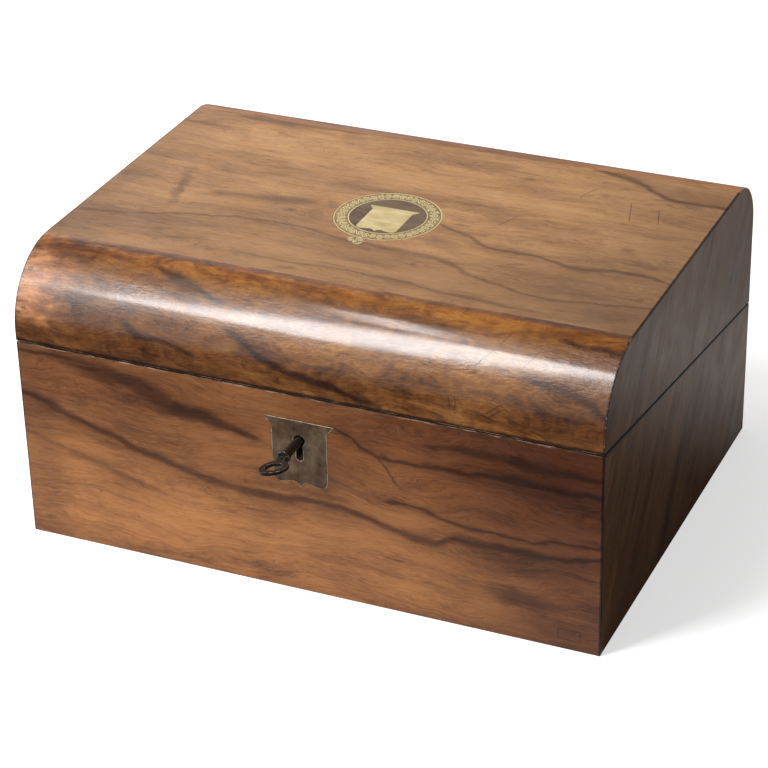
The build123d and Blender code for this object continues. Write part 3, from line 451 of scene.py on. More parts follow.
def streak_marks(paint, along, across, streaks):
    """The dark cores of the streaks and the soft stains beside them."""
    ragged = paint.noise((along, across, 0.0), 12, 4, detail=4, rough=0.65)
    swell = paint.math("MULTIPLY_ADD", ragged, 2.2, -0.1)
    jagged = paint.around(paint.noise((along, across, 0.0), 9, 4, detail=5, rough=0.7), 5.0)
    broken = paint.step(paint.noise((along, across, 0.0), 16, 9, detail=3), 0.40, 0.58, 0.15, 1.0)
    cores, halos = 0.0, 0.0
    for streak in streaks:
        points = streak["line"]
        centre = paint.line(along, [(x, y) for x, y, half in points])
        half = paint.line(along, [(x, half) for x, y, half in points])
        off = paint.take(across, centre)
        first, last = points[0][0], points[-1][0]
        ends = paint.times(paint.step(along, first - 1, first + 9) if first > -150 else 1.0,
                           paint.step(along, last - 9, last + 1, 1.0, 0.0) if last < 150 else 1.0)
        core = paint.math("DIVIDE", paint.size(off), paint.times(half, swell))
        core = paint.step(core, 0.15, 1.5, streak["dark"], 0.0)
        vein = paint.within(paint.size(paint.add(off, jagged)), 1.0, streak["dark"])
        core = paint.times(paint.most(core, paint.times(vein, broken)), ends)
        halo = paint.times(paint.step(off, -streak["under"], 0.0),
                           paint.step(off, 0.0, streak["over"], 1.0, 0.0))
        cores = paint.most(cores, core)
        halos = paint.most(halos, paint.times(paint.times(halo, ends), streak["dark"]))
    return cores, halos


def patch_marks(paint, along, across, patches):
    """Soft dark patches with ragged edges."""
    marks = 0.0
    for x, y, half_length, half_width, turn, dark in patches:
        right, up = paint.turned(along, across, (x, y), turn)
        reach = paint.length(paint.times(right, 1 / half_length), paint.times(up, 1 / half_width))
        marks = paint.most(marks, paint.step(reach, 0.25, 1.35, dark, 0.0))
    return marks


def scratch_marks(paint, along, across, scratches):
    """Thin bent scratches that have taken up dirt."""
    marks = 0.0
    for x, y, half, turn, bend in scratches:
        right, up = paint.turned(along, across, (x, y), turn)
        bent = paint.add(up, paint.times(paint.times(right, right), bend))
        mark = paint.times(paint.within(paint.size(bent), 0.42),
                           paint.step(paint.size(right), half * 0.7, half, 1.0, 0.0))
        marks = paint.most(marks, mark)
    return marks


def walnut(paint, grain, tones, contrast=1.0, bands=1.3, rings=0.26, warp=1.0, burr=0.0,
           streaks=(), patches=(), scratches=()):
    """Figured walnut: its colour, and a height that is low in its pores and scratches."""
    along, across, depth = grain
    drift = paint.around(paint.noise(grain, 95, 38, detail=2), 30.0 * warp)
    wobble = paint.around(paint.noise(grain, 24, 8, detail=3), 7.0 * warp)
    bent = paint.add(paint.add(across, drift), wobble)
    flow = (along, bent, depth)
    clouds = paint.noise(grain, 62, 26, detail=3)
    fine = paint.noise(flow, 34, 1.1, detail=4, rough=0.72)
    fibre = paint.noise(flow, 5.5, 0.40, detail=2, rough=0.6)
    tone = paint.add(0.54, paint.around(clouds, 1.2 * contrast))
    tone = paint.add(tone, paint.around(paint.noise(flow, 170, 8, detail=4, rough=0.68), bands * contrast))
    tone = paint.add(tone, paint.around(fine, 0.85 * contrast))
    tone = paint.add(tone, paint.around(fibre, 0.85 * contrast))
    smudges = paint.step(paint.noise(flow, 21, 5.5, detail=6, rough=0.72), 0.54, 0.72)
    tone = paint.take(tone, paint.times(smudges, 0.30 * contrast))
    if burr:
        knots = paint.noise(grain, 15, 9, detail=5, rough=0.62, twist=1.6)
        ripples = paint.noise(grain, 5, 13, detail=3, twist=0.8)
        tone = paint.add(tone, paint.around(knots, 2.6 * burr))
        tone = paint.add(tone, paint.around(ripples, 1.0 * burr))
    # Year rings: each darkens slowly up to a thin line
    phase = paint.math("FRACT", paint.add(paint.times(bent, 0.105), paint.times(clouds, 3.2)))
    lines = paint.most(paint.step(phase, 0.0, 0.07, 1.0, 0.0), paint.step(phase, 0.55, 1.0, 0.0, 0.45))
    shown = paint.step(paint.noise(grain, 46, 20, detail=3), 0.42, 0.62)
    tone = paint.take(tone, paint.times(paint.times(lines, shown), rings * contrast))
    colour = paint.ramp(tone, tones)
    # Grey and purple stains
    stains = paint.step(paint.noise(flow, 52, 13, detail=5, rough=0.62), 0.53, 0.74, 0.0, 0.6)
    if streaks:
        shaky = paint.add(across, paint.around(paint.noise(grain, 15, 6, detail=5, rough=0.62), 5.5))
        cores, halos = streak_marks(paint, along, shaky, streaks)
        torn = paint.step(fine, 0.34, 0.62, 0.35, 1.0)
        stains = paint.most(stains, paint.times(paint.times(halos, 0.72), torn))
    if patches:
        ragged = paint.add(across, paint.around(paint.noise(grain, 11, 7, detail=5, rough=0.65), 13.0))
        spread = paint.add(along, paint.around(paint.noise(grain, 9, 9, detail=4, rough=0.6), 16.0))
        stains = paint.most(stains, patch_marks(paint, spread, ragged, patches))
    colour = paint.tint(stains, colour, stain_shade)
    if streaks:
        hairs = paint.step(paint.add(fibre, fine), 0.7, 1.15, 0.55, 1.0)
        colour = paint.tint(paint.times(cores, hairs), colour, streak_shade)
    # Pores, short dark dashes along the grain
    pores = paint.step(paint.noise(flow, 3.6, 0.24, detail=1), 0.58, 0.70)
    pores = paint.times(pores, paint.step(paint.noise(grain, 17, 9), 0.36, 0.62))
    colour = paint.tint(paint.times(pores, 0.62), colour, (0.42, 0.36, 0.36, 1))
    specks = paint.step(paint.noise(grain, 1.5, 0.8, detail=1), 0.76, 0.80)
    colour = paint.tint(paint.times(specks, 0.75), colour, (0.30, 0.25, 0.25, 1))
    height = paint.take(paint.add(paint.times(fibre, 0.5), 0.5), paint.times(pores, 0.5))
    if scratches:
        cuts = scratch_marks(paint, along, across, scratches)
        colour = paint.tint(paint.times(cuts, 0.7), colour, (0.30, 0.24, 0.22, 1))
        height = paint.take(height, cuts)
    return colour, height


def old_polish(paint, grain, colour, height, gloss, coat, shine=0.1, wave=0.25, level=0.45,
               peel=0.03):
    """Worn french polish: dull patches, smears, and a gently uneven surface."""
    dull = paint.noise(grain, 22, 15, detail=4, rough=0.6)
    smear = paint.noise(grain, 30, 2.2, detail=4, rough=0.65)
    roughness = paint.add(gloss, paint.around(dull, 0.45))
    roughness = paint.add(roughness, paint.around(smear, 0.35))
    roughness = paint.most(roughness, 0.14)
    uneven = paint.bump(paint.noise(grain, 26, 11, detail=2), wave)
    uneven = paint.bump(paint.noise(grain, 9, 4, detail=3), wave * 0.22, uneven)
    dimples = paint.bump(paint.noise(grain, 3.0, 1.2, detail=3, rough=0.6), peel, uneven)
    normal = paint.bump(height, 0.03, dimples)
    return paint.finish(colour, roughness, normal, Coat_Weight=coat, Coat_Roughness=shine,
                        Specular_IOR_Level=level)


def dirt_and_shade_line(paint, colour, distance, reach, chips):
    """A dark line at an edge, with pale chips knocked out of it: dirt at the box's outer edges, painted
    shade along the joint between lid and base.
    """
    x, y, z = paint.place()
    place = (paint.add(x, paint.times(y, 0.3)), z, y)
    wander = paint.around(paint.noise(place, 7, 3, detail=4, rough=0.65), reach * 0.8)
    near = paint.within(paint.add(distance, wander), reach, 0.92)
    colour = paint.tint(near, colour, (0.10, 0.07, 0.06, 1))
    if chips:
        lost = paint.step(paint.noise(place, 11, 1.2, detail=5, rough=0.7), 0.50, 0.62)
        lost = paint.times(lost, paint.within(distance, chips, 0.75))
        colour = paint.mix(lost, colour, (0.42, 0.29, 0.19, 1))
    return colour


def paint_keyhole_shade(paint, colour):
    """Painted shade: the wood in and round the keyhole is darkened to black, where the hole lies in shade.
    """
    x, y, z = paint.place()
    off = paint.length(paint.length(x, paint.take(z, keyhole_z)), paint.take(y, box_front))
    return paint.tint(paint.within(off, shaded_keyhole_reach, 0.97), colour, (0.05, 0.035, 0.03, 1))


def side_distance(paint, x):
    """How far a point lies from the nearer end of the box."""
    return paint.take(box_side, paint.size(x))


def walnut_top():
    paint = Paint("walnut_top")
    grain = grain_on_top(paint)
    colour, height = walnut(paint, grain, top_tones, contrast=0.85, bands=0.7, rings=0.12,
                            streaks=top_streaks, patches=top_patches, scratches=top_scratches)
    x, y, z = grain
    # Painted shade: the top darkens towards its right end, where the lamps' light falls off. It is also
    # darker towards its front and near its left end.
    colour = paint.tint(paint.step(x, 50.0, 150.0, 0.0, 0.9), colour, (0.66, 0.66, 0.70, 1))
    colour = paint.tint(paint.step(y, -70.0, 20.0, 0.8, 0.0), colour, (0.68, 0.67, 0.66, 1))
    colour = paint.tint(paint.step(x, -150.0, -100.0, 0.8, 0.0), colour, (0.74, 0.72, 0.76, 1))
    colour = dirt_and_shade_line(paint, colour, side_distance(paint, x), 1.0, 0.0)
    return old_polish(paint, grain, colour, height, gloss=0.46, coat=0.12, shine=0.3, wave=0.12)


def walnut_curve():
    paint = Paint("walnut_curve")
    grain = grain_round_front(paint)
    colour, height = walnut(paint, grain, curve_tones, contrast=0.8, rings=0.16, warp=1.3, burr=0.45,
                            streaks=curve_streaks, patches=curve_patches, scratches=curve_scratches)
    along, around, depth = grain
    colour = paint.tint(paint.step(around, 41.0, 55.0), colour, (1.70, 1.65, 1.35, 1))
    # Painted shade: the curve is darker on its lower left, and towards its right end, where the lamps' light
    # falls off.
    shade = paint.times(paint.step(along, -60.0, 0.0, 1.0, 0.0), paint.step(around, 12.0, 30.0, 1.0, 0.0))
    colour = paint.tint(shade, colour, (0.66, 0.60, 0.60, 1))
    colour = paint.tint(paint.step(along, 90.0, 150.0), colour, (0.72, 0.66, 0.60, 1))
    # The polish is worn down to orange wood at the left end
    edge = paint.add(along, paint.around(paint.noise(grain, 15, 10, detail=5, rough=0.62), 62.0))
    low = paint.add(around, paint.around(paint.noise(grain, 12, 9, detail=4), 22.0))
    bare = paint.times(paint.step(edge, -146.0, -122.0, 1.0, 0.0), paint.step(low, 3.0, 12.0))
    bare = paint.times(bare, paint.step(low, 36.0, 48.0, 1.0, 0.0))
    bare_colour = paint.mix(paint.step(paint.noise(grain, 9, 3, detail=4), 0.35, 0.65),
                            (0.34, 0.115, 0.030, 1), (0.62, 0.26, 0.09, 1))
    colour = paint.mix(paint.times(bare, 0.85), colour, bare_colour)
    chips = paint.step(paint.noise(grain, 6.0, 2.0, detail=5, rough=0.7), 0.53, 0.60)
    chips = paint.times(chips, paint.step(along, -152.0, -139.0, 1.0, 0.0))
    colour = paint.mix(paint.times(chips, 0.9), colour, (0.045, 0.020, 0.012, 1))
    colour = dirt_and_shade_line(paint, colour, side_distance(paint, along), 1.0, 0.0)
    # Painted shade along the joint between lid and base, at the curve's lower edge
    bottom = paint.add(around, front_arc_z - joint_at_front)
    colour = dirt_and_shade_line(paint, colour, bottom, 2.6, 0.0)
    return old_polish(paint, grain, colour, height, gloss=0.36, coat=0.8, shine=0.15, wave=0.6,
                      level=0.5, peel=0.2)


def walnut_base_front():
    paint = Paint("walnut_base_front")
    grain = grain_on_front(paint)
    colour, height = walnut(paint, grain, front_tones, contrast=0.85, bands=0.85, rings=0.16,
                            streaks=front_streaks, patches=front_patches)
    x, z, y = grain
    # Painted shade: the base front darkens towards its right end and its top, most at its upper right, where
    # less of the lamps' and the floor's light reaches it. It is also darker near its left end and along its
    # bottom.
    colour = paint.tint(paint.step(x, 40.0, 140.0), colour, (0.55, 0.50, 0.46, 1))
    colour = paint.tint(paint.step(z, 25.0, 95.0), colour, (0.62, 0.55, 0.48, 1))
    colour = paint.tint(paint.step(paint.add(x, z), 60.0, 240.0), colour, (0.70, 0.52, 0.38, 1))
    colour = paint.tint(paint.step(x, -153.0, -120.0, 0.4, 0.0), colour, (0.66, 0.62, 0.62, 1))
    colour = paint.tint(paint.step(z, 0.0, 7.0, 0.4, 0.0), colour, (0.55, 0.50, 0.48, 1))
    colour = dirt_and_shade_line(paint, colour, side_distance(paint, x), 1.2, 0.0)
    # Painted shade along the joint with the lid, with pale chips knocked out below it
    colour = dirt_and_shade_line(paint, colour, paint.take(joint_at_front, z), 0.8, 1.4)
    # Painted shade in and round the keyhole
    colour = paint_keyhole_shade(paint, colour)
    # The ends of the joint's fingers show through the veneer near the lower right corner
    frame_x = paint.apart(x, finger_end_place[0])
    frame_z = paint.apart(z, finger_end_place[1])
    outline = paint.most(paint.take(frame_x, finger_end_half[0]),
                         paint.take(frame_z, finger_end_half[1]))
    colour = paint.tint(paint.within(paint.size(outline), 0.6, 0.5), colour, (0.30, 0.25, 0.25, 1))
    return old_polish(paint, grain, colour, height, gloss=0.42, coat=0.25, shine=0.25, wave=0.2)


def walnut_end():
    paint = Paint("walnut_end")
    grain = grain_on_end(paint)
    colour, height = walnut(paint, grain, end_tones, contrast=0.65, warp=0.25)
    x, y, z = paint.place()
    # Painted shade: the end darkens low down and towards its front.
    low = paint.step(paint.add(z, paint.times(y, 0.35)), -10.0, 95.0, 0.8, 0.0)
    colour = paint.tint(low, colour, (0.74, 0.66, 0.60, 1))
    colour = dirt_and_shade_line(paint, colour, end_edge_distance(paint), 1.6, 0.0)
    # Painted shade along the joint between lid and base
    colour = dirt_and_shade_line(paint, colour, joint_distance(paint), 1.9, 0.0)
    return old_polish(paint, grain, colour, height, gloss=0.40, coat=0.3, shine=0.3, wave=0.15)


def walnut_back():
    paint = Paint("walnut_back")
    grain = grain_on_front(paint)
    colour, height = walnut(paint, grain, front_tones, contrast=0.8)
    # Painted shade along the joint between lid and base, with pale chips
    colour = dirt_and_shade_line(paint, colour, joint_distance(paint), 1.2, 1.0)
    return old_polish(paint, grain, colour, height, gloss=0.46, coat=0.15, shine=0.3, wave=0.15)


def walnut_back_round():
    paint = Paint("walnut_back_round")
    grain = grain_on_top(paint)
    colour, height = walnut(paint, grain, front_tones, contrast=0.8)
    return old_polish(paint, grain, colour, height, gloss=0.42, coat=0.25, shine=0.28, wave=0.15)


def plain_wood(name, tones, gloss):
    paint = Paint(name)
    grain = grain_on_top(paint)
    colour, height = walnut(paint, grain, tones, contrast=0.7, warp=0.6)
    # Painted shade in and round the keyhole
    colour = paint_keyhole_shade(paint, colour)
    return old_polish(paint, grain, colour, height, gloss=gloss, coat=0.0, wave=0.1)


def roundel_wood():
    paint = Paint("roundel_wood")
    grain = grain_on_top(paint)
    colour, height = walnut(paint, grain, roundel_tones, contrast=1.0, warp=0.4)
    return old_polish(paint, grain, colour, height, gloss=0.5, coat=0.0, wave=0.05)


# Metals, leather and glass

def brass(name, clean, tarnished, amount, gloss):
    """Brass with cloudy tarnish, pits and fine scratches."""
    paint = Paint(name)
    x, y, z = paint.place()
    place = (x, y, z)
    clouds = paint.noise(place, 9, 9, detail=5, rough=0.6)
    spots = paint.step(paint.noise(place, 1.1, 1.1, detail=3), 0.58, 0.70)
    share = paint.math("ADD", paint.step(clouds, 0.62 - amount, 0.95 - amount),
                       paint.times(spots, 0.4), clamp=True)
    colour = paint.mix(share, clean, tarnished)
    scratches = paint.noise((paint.add(x, paint.times(z, 0.4)), paint.add(z, y), y), 7, 0.09, detail=1)
    roughness = paint.add(gloss, paint.times(share, 0.22))
    roughness = paint.add(roughness, paint.times(scratches, 0.10))
    normal = paint.bump(paint.add(paint.times(scratches, 0.4), paint.times(spots, -0.6)), 0.03)
    return paint.finish(colour, roughness, normal, Metallic=0.9)


def dull_plate():
    """The escutcheon's face: brown bronze with cloudy grey patches, pits and small knocks."""
    paint = Paint("dull_plate")
    x, y, z = paint.place()
    place = (x, z, y)
    clouds = paint.noise(place, 7, 9, detail=5, rough=0.62)
    colour = paint.ramp(clouds, [(0.3, (0.080, 0.046, 0.030, 1)), (0.5, (0.145, 0.092, 0.056, 1)),
                                 (0.7, (0.260, 0.175, 0.100, 1))])
    rubbed = paint.step(paint.noise((paint.add(x, z), z, y), 2.5, 0.12, detail=1), 0.66, 0.72)
    colour = paint.mix(paint.times(rubbed, 0.35), colour, (0.45, 0.34, 0.21, 1))
    pits = paint.step(paint.noise(place, 0.9, 0.9, detail=3), 0.60, 0.70)
    colour = paint.tint(paint.times(pits, 0.6), colour, (0.4, 0.36, 0.32, 1))
    nicks = paint.step(paint.noise(place, 1.4, 5.0, detail=2), 0.70, 0.76)
    colour = paint.mix(paint.times(nicks, 0.5), colour, (0.42, 0.33, 0.20, 1))
    roughness = paint.add(0.36, paint.around(clouds, 0.5))
    normal = paint.bump(paint.take(clouds, paint.times(pits, 0.5)), 0.12)
    return paint.finish(colour, roughness, normal, Metallic=0.45)


def bright_edge():
    """Brass rubbed bright at an edge, broken by darker spots."""
    paint = Paint("bright_edge")
    x, y, z = paint.place()
    wear = paint.step(paint.noise((x, z, y), 3, 3, detail=4, rough=0.65), 0.36, 0.55)
    colour = paint.mix(wear, (0.30, 0.22, 0.12, 1), (1.0, 0.88, 0.60, 1))
    return paint.finish(colour, paint.step(wear, 0.0, 1.0, 0.5, 0.35), None, Metallic=0.0)


def shaded_chipped_veneer_edge():
    """The edge of a veneer, painted dark as shade along the joint between lid and base and as old dirt at
    its other edges, and chipped down to pale wood.
    """
    paint = Paint("shaded_chipped_veneer_edge")
    x, y, z = paint.place()
    along = paint.add(x, paint.times(y, 0.3))
    chips = paint.step(paint.noise((along, z, y), 9, 2, detail=5, rough=0.7), 0.50, 0.60)
    colour = paint.mix(paint.times(chips, 0.85), (0.050, 0.024, 0.013, 1), (0.36, 0.22, 0.13, 1))
    return paint.finish(colour, 0.5)


def engraved_brass():
    """The belt: bright borders, and a scrolling vine cut between them on dark ground."""
    paint = Paint("engraved_brass")
    x, y, z = paint.place()
    across = paint.take(x, ring_x)
    upward = paint.take(y, ring_y)
    radius = paint.length(across, upward)
    angle = paint.math("ARCTAN2", upward, across)
    middle = (ring_inner_radius + ring_outer_radius) / 2
    belt_off = paint.take(radius, middle)
    belt_way = paint.times(angle, middle)
    # The tail of the belt has its own straight run
    tail_way, tail_off = paint.turned(x, y, belt_tail_start, belt_tail_turn)
    on_tail = paint.step(radius, ring_outer_radius + 0.1, ring_outer_radius + 0.3)
    off = paint.choose(on_tail, belt_off, tail_off)
    way = paint.choose(on_tail, belt_way, tail_way)
    # The vine swings from side to side, and a curl fills each of its bays
    bays = 40
    bay = math.tau * middle / bays
    half_turn = paint.times(way, math.pi / bay)
    vine = paint.within(paint.apart(off, paint.times(paint.math("SINE", half_turn), 1.5)), 0.5)
    bay_way = paint.around(paint.math("FRACT", paint.times(way, 1 / bay)), bay)
    side = paint.math("SIGN", paint.math("SINE", half_turn))
    curl = paint.length(bay_way, paint.add(off, paint.times(side, 0.95)))
    curls = paint.most(paint.within(paint.apart(curl, 1.05), 0.42), paint.within(curl, 0.5))
    leaf = paint.apart(paint.noise((way, off, 0.0), 1.5, 1.5, detail=2), 0.5)
    leaves = paint.within(leaf, 0.05, 0.75)
    raised = paint.most(paint.most(vine, curls), leaves)
    field = paint.step(paint.size(off), 2.75, 3.0, 1.0, 0.0)
    raised = paint.most(paint.times(raised, field), paint.step(paint.size(off), 3.2, 3.4))
    ground = paint.mix(paint.noise((x, y, z), 7, 7, detail=4), (0.180, 0.118, 0.042, 1),
                       (0.360, 0.250, 0.095, 1))
    metal = paint.mix(paint.noise((x, y, z), 9, 9, detail=4), (0.72, 0.54, 0.24, 1),
                      (0.98, 0.80, 0.44, 1))
    colour = paint.mix(raised, ground, metal)
    normal = paint.bump(raised, 0.10)
    return paint.finish(colour, paint.step(raised, 0.0, 1.0, 0.5, 0.36), normal, Metallic=0.3)


def shield_brass():
    """Pale brass, brushed along the box, with a few darker streaks."""
    paint = Paint("shield_brass")
    place = paint.place()
    brushed = paint.noise(place, 14, 0.5, detail=3)
    clouds = paint.noise(place, 12, 5, detail=4)
    colour = paint.ramp(clouds, [(0.3, (0.62, 0.47, 0.20, 1)), (0.55, (0.80, 0.64, 0.31, 1)),
                                 (0.75, (0.95, 0.80, 0.46, 1))])
    colour = paint.tint(paint.step(brushed, 0.52, 0.75, 0.0, 0.5), colour, (0.66, 0.56, 0.36, 1))
    normal = paint.bump(brushed, 0.02)
    return paint.finish(colour, paint.add(0.3, paint.times(brushed, 0.15)), normal, Metallic=0.3)


# Painted shadow: the shield's bevelled edge is near black, standing for the shadow in the gap round the
# shield
def shield_gap_shadow():
    paint = Paint("shield_gap_shadow")
    x, y, z = paint.place()
    colour = paint.mix(paint.noise((x, y, z), 3, 3, detail=3), (0.03, 0.02, 0.012, 1),
                       (0.16, 0.11, 0.05, 1))
    return paint.finish(colour, 0.5, None, Metallic=0.3)


def dark_steel():
    paint = Paint("dark_steel")
    place = paint.place()
    pits = paint.noise(place, 1.6, 1.6, detail=4, rough=0.65)
    rust = paint.step(paint.noise(place, 5, 5, detail=4), 0.5, 0.68)
    colour = paint.mix(pits, (0.020, 0.014, 0.012, 1), (0.085, 0.066, 0.055, 1))
    colour = paint.mix(paint.times(rust, 0.5), colour, (0.10, 0.045, 0.022, 1))
    normal = paint.bump(pits, 0.08)
    return paint.finish(colour, paint.step(pits, 0.3, 0.7, 0.5, 0.3), normal, Metallic=0.8)


def worn_steel():
    """Steel rubbed bright along the key's edges."""
    paint = Paint("worn_steel")
    place = paint.place()
    wear = paint.step(paint.noise(place, 2.2, 2.2, detail=4), 0.42, 0.60)
    colour = paint.mix(wear, (0.06, 0.045, 0.04, 1), (0.62, 0.54, 0.48, 1))
    return paint.finish(colour, 0.34, None, Metallic=0.55)


def writing_leather():
    """Dark green skiver with gilt lines near its edges."""
    paint = Paint("writing_leather")
    x, y, z = paint.place()
    cells = paint.node("ShaderNodeTexVoronoi", feature="DISTANCE_TO_EDGE")
    paint.feed(cells.inputs["Vector"], paint.vector(x, y, z))
    cells.inputs["Scale"].default_value = 1.1
    pebble = paint.step(cells.outputs[0], 0.0, 0.35)
    worn = paint.noise((x, y, z), 30, 30, detail=4)
    colour = paint.mix(worn, (0.028, 0.055, 0.03, 1), (0.06, 0.10, 0.055, 1))
    colour = paint.tint(paint.take(1.0, pebble), colour, (0.4, 0.4, 0.4, 1))
    inset = paint.least(paint.take(leather_half[0], paint.size(x)),
                        paint.take(leather_half[1], paint.size(y)))
    outer = paint.within(paint.apart(inset, gilt_line_insets[0]), 0.6)
    inner = paint.within(paint.apart(inset, gilt_line_insets[1]), 0.4)
    gilt = paint.times(paint.most(outer, inner), paint.step(worn, 0.35, 0.5))
    colour = paint.mix(gilt, colour, (0.62, 0.42, 0.14, 1))
    normal = paint.bump(pebble, 0.06)
    return paint.finish(colour, paint.take(0.62, paint.times(gilt, 0.25)), normal)


def clear_glass():
    paint = Paint("clear_glass")
    place = paint.place()
    normal = paint.bump(paint.noise(place, 9, 9, detail=2), 0.1)
    return paint.finish((0.90, 0.95, 0.93, 1), 0.04, normal, Transmission_Weight=1.0, IOR=1.5)


# Pieces

sharp_angle = math.radians(28)
flat_angle = math.radians(0.3)
weld_distance = 2e-6


def weld_and_smooth(mesh):
    """Welds the mesh, joins its flat faces and shades it smooth apart from its sharp edges."""
    shape = bmesh.new()
    shape.from_mesh(mesh)
    bmesh.ops.remove_doubles(shape, verts=shape.verts, dist=weld_distance)
    bmesh.ops.dissolve_limit(shape, angle_limit=flat_angle, verts=shape.verts,
                             edges=shape.edges, use_dissolve_boundaries=False)
    for face in shape.faces:
        face.smooth = True
    for edge in shape.edges:
        if len(edge.link_faces) == 2:
            edge.smooth = edge.calc_face_angle(0.0) < sharp_angle
    shape.to_mesh(mesh)
    shape.free()


def worn_piece(node, material, radius, edge=None):
    """A piece that stands for the node. Wear rounds its edges by radius and gives them edge."""
    source = frame["nodes"][node]
    mesh = source.data.copy()
    mesh.materials.clear()
    mesh.materials.append(material)
    mesh.materials.append(edge or material)
    weld_and_smooth(mesh)
    piece = bpy.data.objects.new(node + "_worn", mesh)
    scene.collection.objects.link(piece)
    bevel = piece.modifiers.new("wear", "BEVEL")
    bevel.width = radius * MM
    bevel.segments = 2
    bevel.limit_method = "ANGLE"
    bevel.angle_limit = sharp_angle
    bevel.use_clamp_overlap = True
    bevel.harden_normals = True
    bevel.material = 1
    bpy.context.view_layer.update()
    view = bpy.context.evaluated_depsgraph_get()
    finished = bpy.data.meshes.new_from_object(piece.evaluated_get(view))
    piece.modifiers.clear()
    piece.data = finished
    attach(piece, source["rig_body"])
    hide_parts(node)


def paint_node(node, material):
    source = frame["nodes"][node]
    source.data.materials.clear()
    source.data.materials.append(material)


# Stage, light and camera

floor_white = 0.86
floor_glow = 0.52
floor_radius = 6.0
floor_gap = 0.0002
fill_strength = 0.33
# The world's height and x in a reflection, from and to, and how bright it is at both
ceiling_fade = (0.48, 0.68, 1.0, 0.12)
side_fade = (-0.52, -0.22, 1.25, 0.15)
lid_front = (0, -0.09, 0.13)
left_middle = (-0.05, 0, 0.10)
camera_place = (0.48056, -1.08409, 0.71475)
camera_back = (0.35848, -0.79732, 0.48557)
camera_right = (0.91664, 0.39914, -0.02134)
camera_lens = 123.64


def pale_floor():
    """White to the camera. In reflections it glows, a painted reflection that is white close to the box and
    behind it only.
    """
    paint = Paint("pale_floor")
    diffuse = paint.node("ShaderNodeBsdfDiffuse")
    diffuse.inputs["Color"].default_value = (floor_white, floor_white, floor_white, 1)
    glow = paint.node("ShaderNodeEmission")
    path = paint.node("ShaderNodeLightPath")
    paint.feed(glow.inputs["Strength"], paint.times(path.outputs["Is Camera Ray"], floor_glow))
    both = paint.node("ShaderNodeAddShader")
    paint.tree.links.new(diffuse.outputs[0], both.inputs[0])
    paint.tree.links.new(glow.outputs[0], both.inputs[1])
    x, y, z = paint.place()
    # Painted reflection: the glow that reflections see, bright in front of the box and behind it
    near = paint.times(paint.step(y, -260.0, -140.0, 0.0, 0.5), paint.step(y, -118.0, -105.0, 1.0, 0.0))
    behind = paint.times(paint.step(y, 50.0, 200.0, 0.015, 0.42), paint.step(y, 220.0, 270.0, 1.0, 0.7))
    mirrored = paint.node("ShaderNodeEmission")
    paint.feed(mirrored.inputs["Strength"], paint.most(near, behind))
    either = paint.node("ShaderNodeMixShader")
    paint.feed(either.inputs[0], path.outputs["Is Glossy Ray"])
    paint.tree.links.new(both.outputs[0], either.inputs[1])
    paint.tree.links.new(mirrored.outputs[0], either.inputs[2])
    output = paint.node("ShaderNodeOutputMaterial")
    paint.tree.links.new(either.outputs[0], output.inputs["Surface"])
    return paint.material


def make_floor():
    """A wide round table top under the box."""
    shape = bmesh.new()
    bmesh.ops.create_circle(shape, cap_ends=True, segments=96, radius=floor_radius)
    mesh = bpy.data.meshes.new("floor")
    shape.to_mesh(mesh)
    shape.free()
    mesh.materials.append(pale_floor())
    floor = bpy.data.objects.new("floor", mesh)
    floor.location.z = -floor_gap
    scene.collection.objects.link(floor)


def make_world():
    """White where the camera looks, a dimmer ceiling in reflections, and a soft fill."""
    world = bpy.data.worlds.new("studio")
    scene.world = world
    world.use_nodes = True
    tree = world.node_tree
    tree.nodes.clear()
    output = tree.nodes.new("ShaderNodeOutputWorld")
    background = tree.nodes.new("ShaderNodeBackground")
    background.inputs["Color"].default_value = (1, 1, 1, 1)
    path = tree.nodes.new("ShaderNodeLightPath")
    coordinates = tree.nodes.new("ShaderNodeTexCoord")
    split = tree.nodes.new("ShaderNodeSeparateXYZ")
    tree.links.new(coordinates.outputs["Generated"], split.inputs[0])

    def faded(axis, fade):
        made = tree.nodes.new("ShaderNodeMapRange")
        for socket, value in zip(list(made.inputs)[1:], fade):
            socket.default_value = value
        tree.links.new(split.outputs[axis], made.inputs[0])
        return made.outputs[0]

    def joined(operation, first, second):
        made = tree.nodes.new("ShaderNodeMath")
        made.operation = operation
        for socket, value in zip(made.inputs, (first, second)):
            if isinstance(value, bpy.types.NodeSocket):
                tree.links.new(value, socket)
            else:
                socket.default_value = value
        return made.outputs[0]

    mirrored = joined("MAXIMUM", path.outputs["Is Glossy Ray"], path.outputs["Is Transmission Ray"])
    shown = joined("MULTIPLY", joined("MULTIPLY", mirrored, faded("Z", ceiling_fade)),
                   faded("X", side_fade))
    soft = joined("MULTIPLY", path.outputs["Is Diffuse Ray"], fill_strength)
    strength = joined("MAXIMUM", joined("MAXIMUM", path.outputs["Is Camera Ray"], shown), soft)
    tree.links.new(strength, background.inputs["Strength"])
    tree.links.new(background.outputs[0], output.inputs["Surface"])


def make_lamp(name, place, target, width, height, power):
    light = bpy.data.lights.new(name, "AREA")
    light.shape = "RECTANGLE"
    light.size = width
    light.size_y = height
    light.energy = power
    lamp = bpy.data.objects.new(name, light)
    lamp.location = place
    lamp.rotation_euler = (Vector(target) - Vector(place)).to_track_quat("-Z", "Y").to_euler()
    scene.collection.objects.link(lamp)


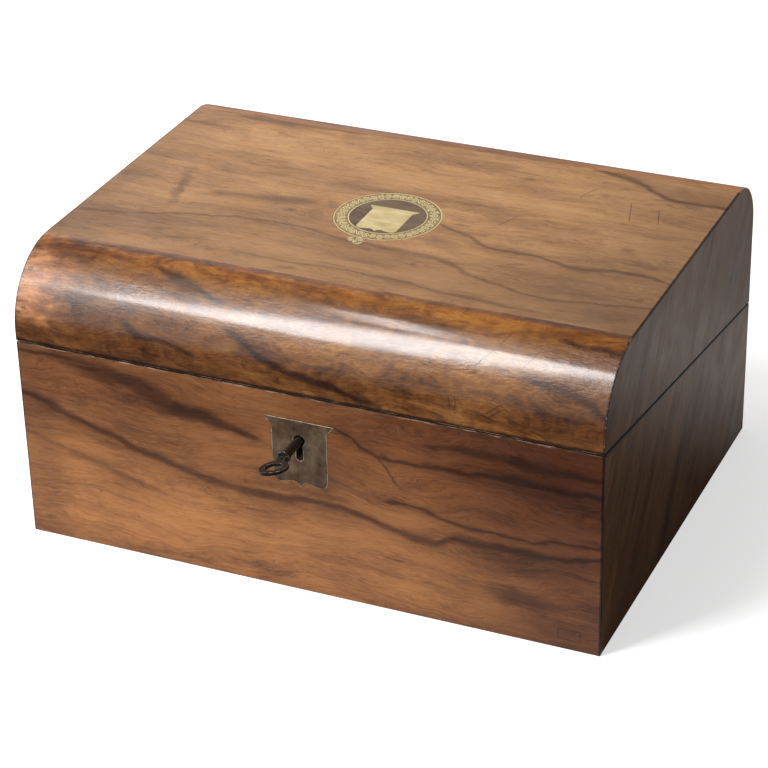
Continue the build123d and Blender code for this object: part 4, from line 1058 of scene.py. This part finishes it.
def make_camera():
    back = Vector(camera_back).normalized()
    right = Vector(camera_right).normalized()
    up = back.cross(right)
    data = bpy.data.cameras.new("camera")
    data.sensor_width = 36.0
    data.lens = camera_lens
    camera = bpy.data.objects.new("camera", data)
    turn = Matrix((right, up, back)).transposed().to_4x4()
    camera.matrix_world = Matrix.Translation(Vector(camera_place)) @ turn
    scene.collection.objects.link(camera)
    bpy.context.scene.camera = camera


scene.view_settings.view_transform = "Standard"
make_world()
make_floor()
make_camera()
make_lamp("window", (-0.53, -0.85, 1.41), lid_front, 0.34, 0.85, 17)
make_lamp("strip", (-0.50, -0.16, 1.56), lid_front, 0.34, 0.045, 1.5)
make_lamp("left_fill", (-1.05, -0.50, 0.80), left_middle, 1.4, 1.2, 8.5)

top = walnut_top()
curve = walnut_curve()
base_front = walnut_base_front()
end = walnut_end()
back_wood = walnut_back()
back_round_wood = walnut_back_round()
carcass = plain_wood("carcass_wood", carcass_tones, 0.5)
roundel = roundel_wood()
belt = engraved_brass()
shield_metal = shield_brass()
shield_edge = shield_gap_shadow()
aged_brass = brass("aged_brass", (0.42, 0.30, 0.13, 1), (0.12, 0.085, 0.05, 1), 0.12, 0.34)
plate_face = dull_plate()
plate_edge = bright_edge()
veneer_edge = shaded_chipped_veneer_edge()
steel = dark_steel()
steel_edge = worn_steel()
leather = writing_leather()
glass = clear_glass()

by_slot = {"carcass_wood": carcass, "walnut_veneer": back_wood, "roundel_wood": roundel,
           "pale_brass": belt, "aged_brass": aged_brass, "dark_steel": steel,
           "clear_glass": glass, "writing_leather": leather}
# Pieces whose edges are worn: their finish, the wear's radius in millimetres and the edge's finish
worn = {"lid_top_veneer": (top, 0.3, None), "lid_front_veneer": (curve, 0.4, veneer_edge),
        "base_front_veneer": (base_front, 0.35, veneer_edge), "base_right_veneer": (end, 0.4, None),
        "base_left_veneer": (end, 0.4, None), "lid_right_veneer": (end, 0.4, None),
        "lid_left_veneer": (end, 0.4, None), "lid_back_veneer": (back_round_wood, 0.3, None),
        "base_back_veneer": (back_wood, 0.35, None),
        "escutcheon": (plate_face, 0.6, plate_edge), "key": (steel, 0.22, steel_edge),
        "inlay_shield": (shield_metal, 0.75, shield_edge)}
for node, (material, radius, edge) in worn.items():
    worn_piece(node, material, radius, edge)
for sub in frame["record"]["subparts"]:
    if sub["node"] not in worn:
        paint_node(sub["node"], by_slot[sub["material_slot"]])
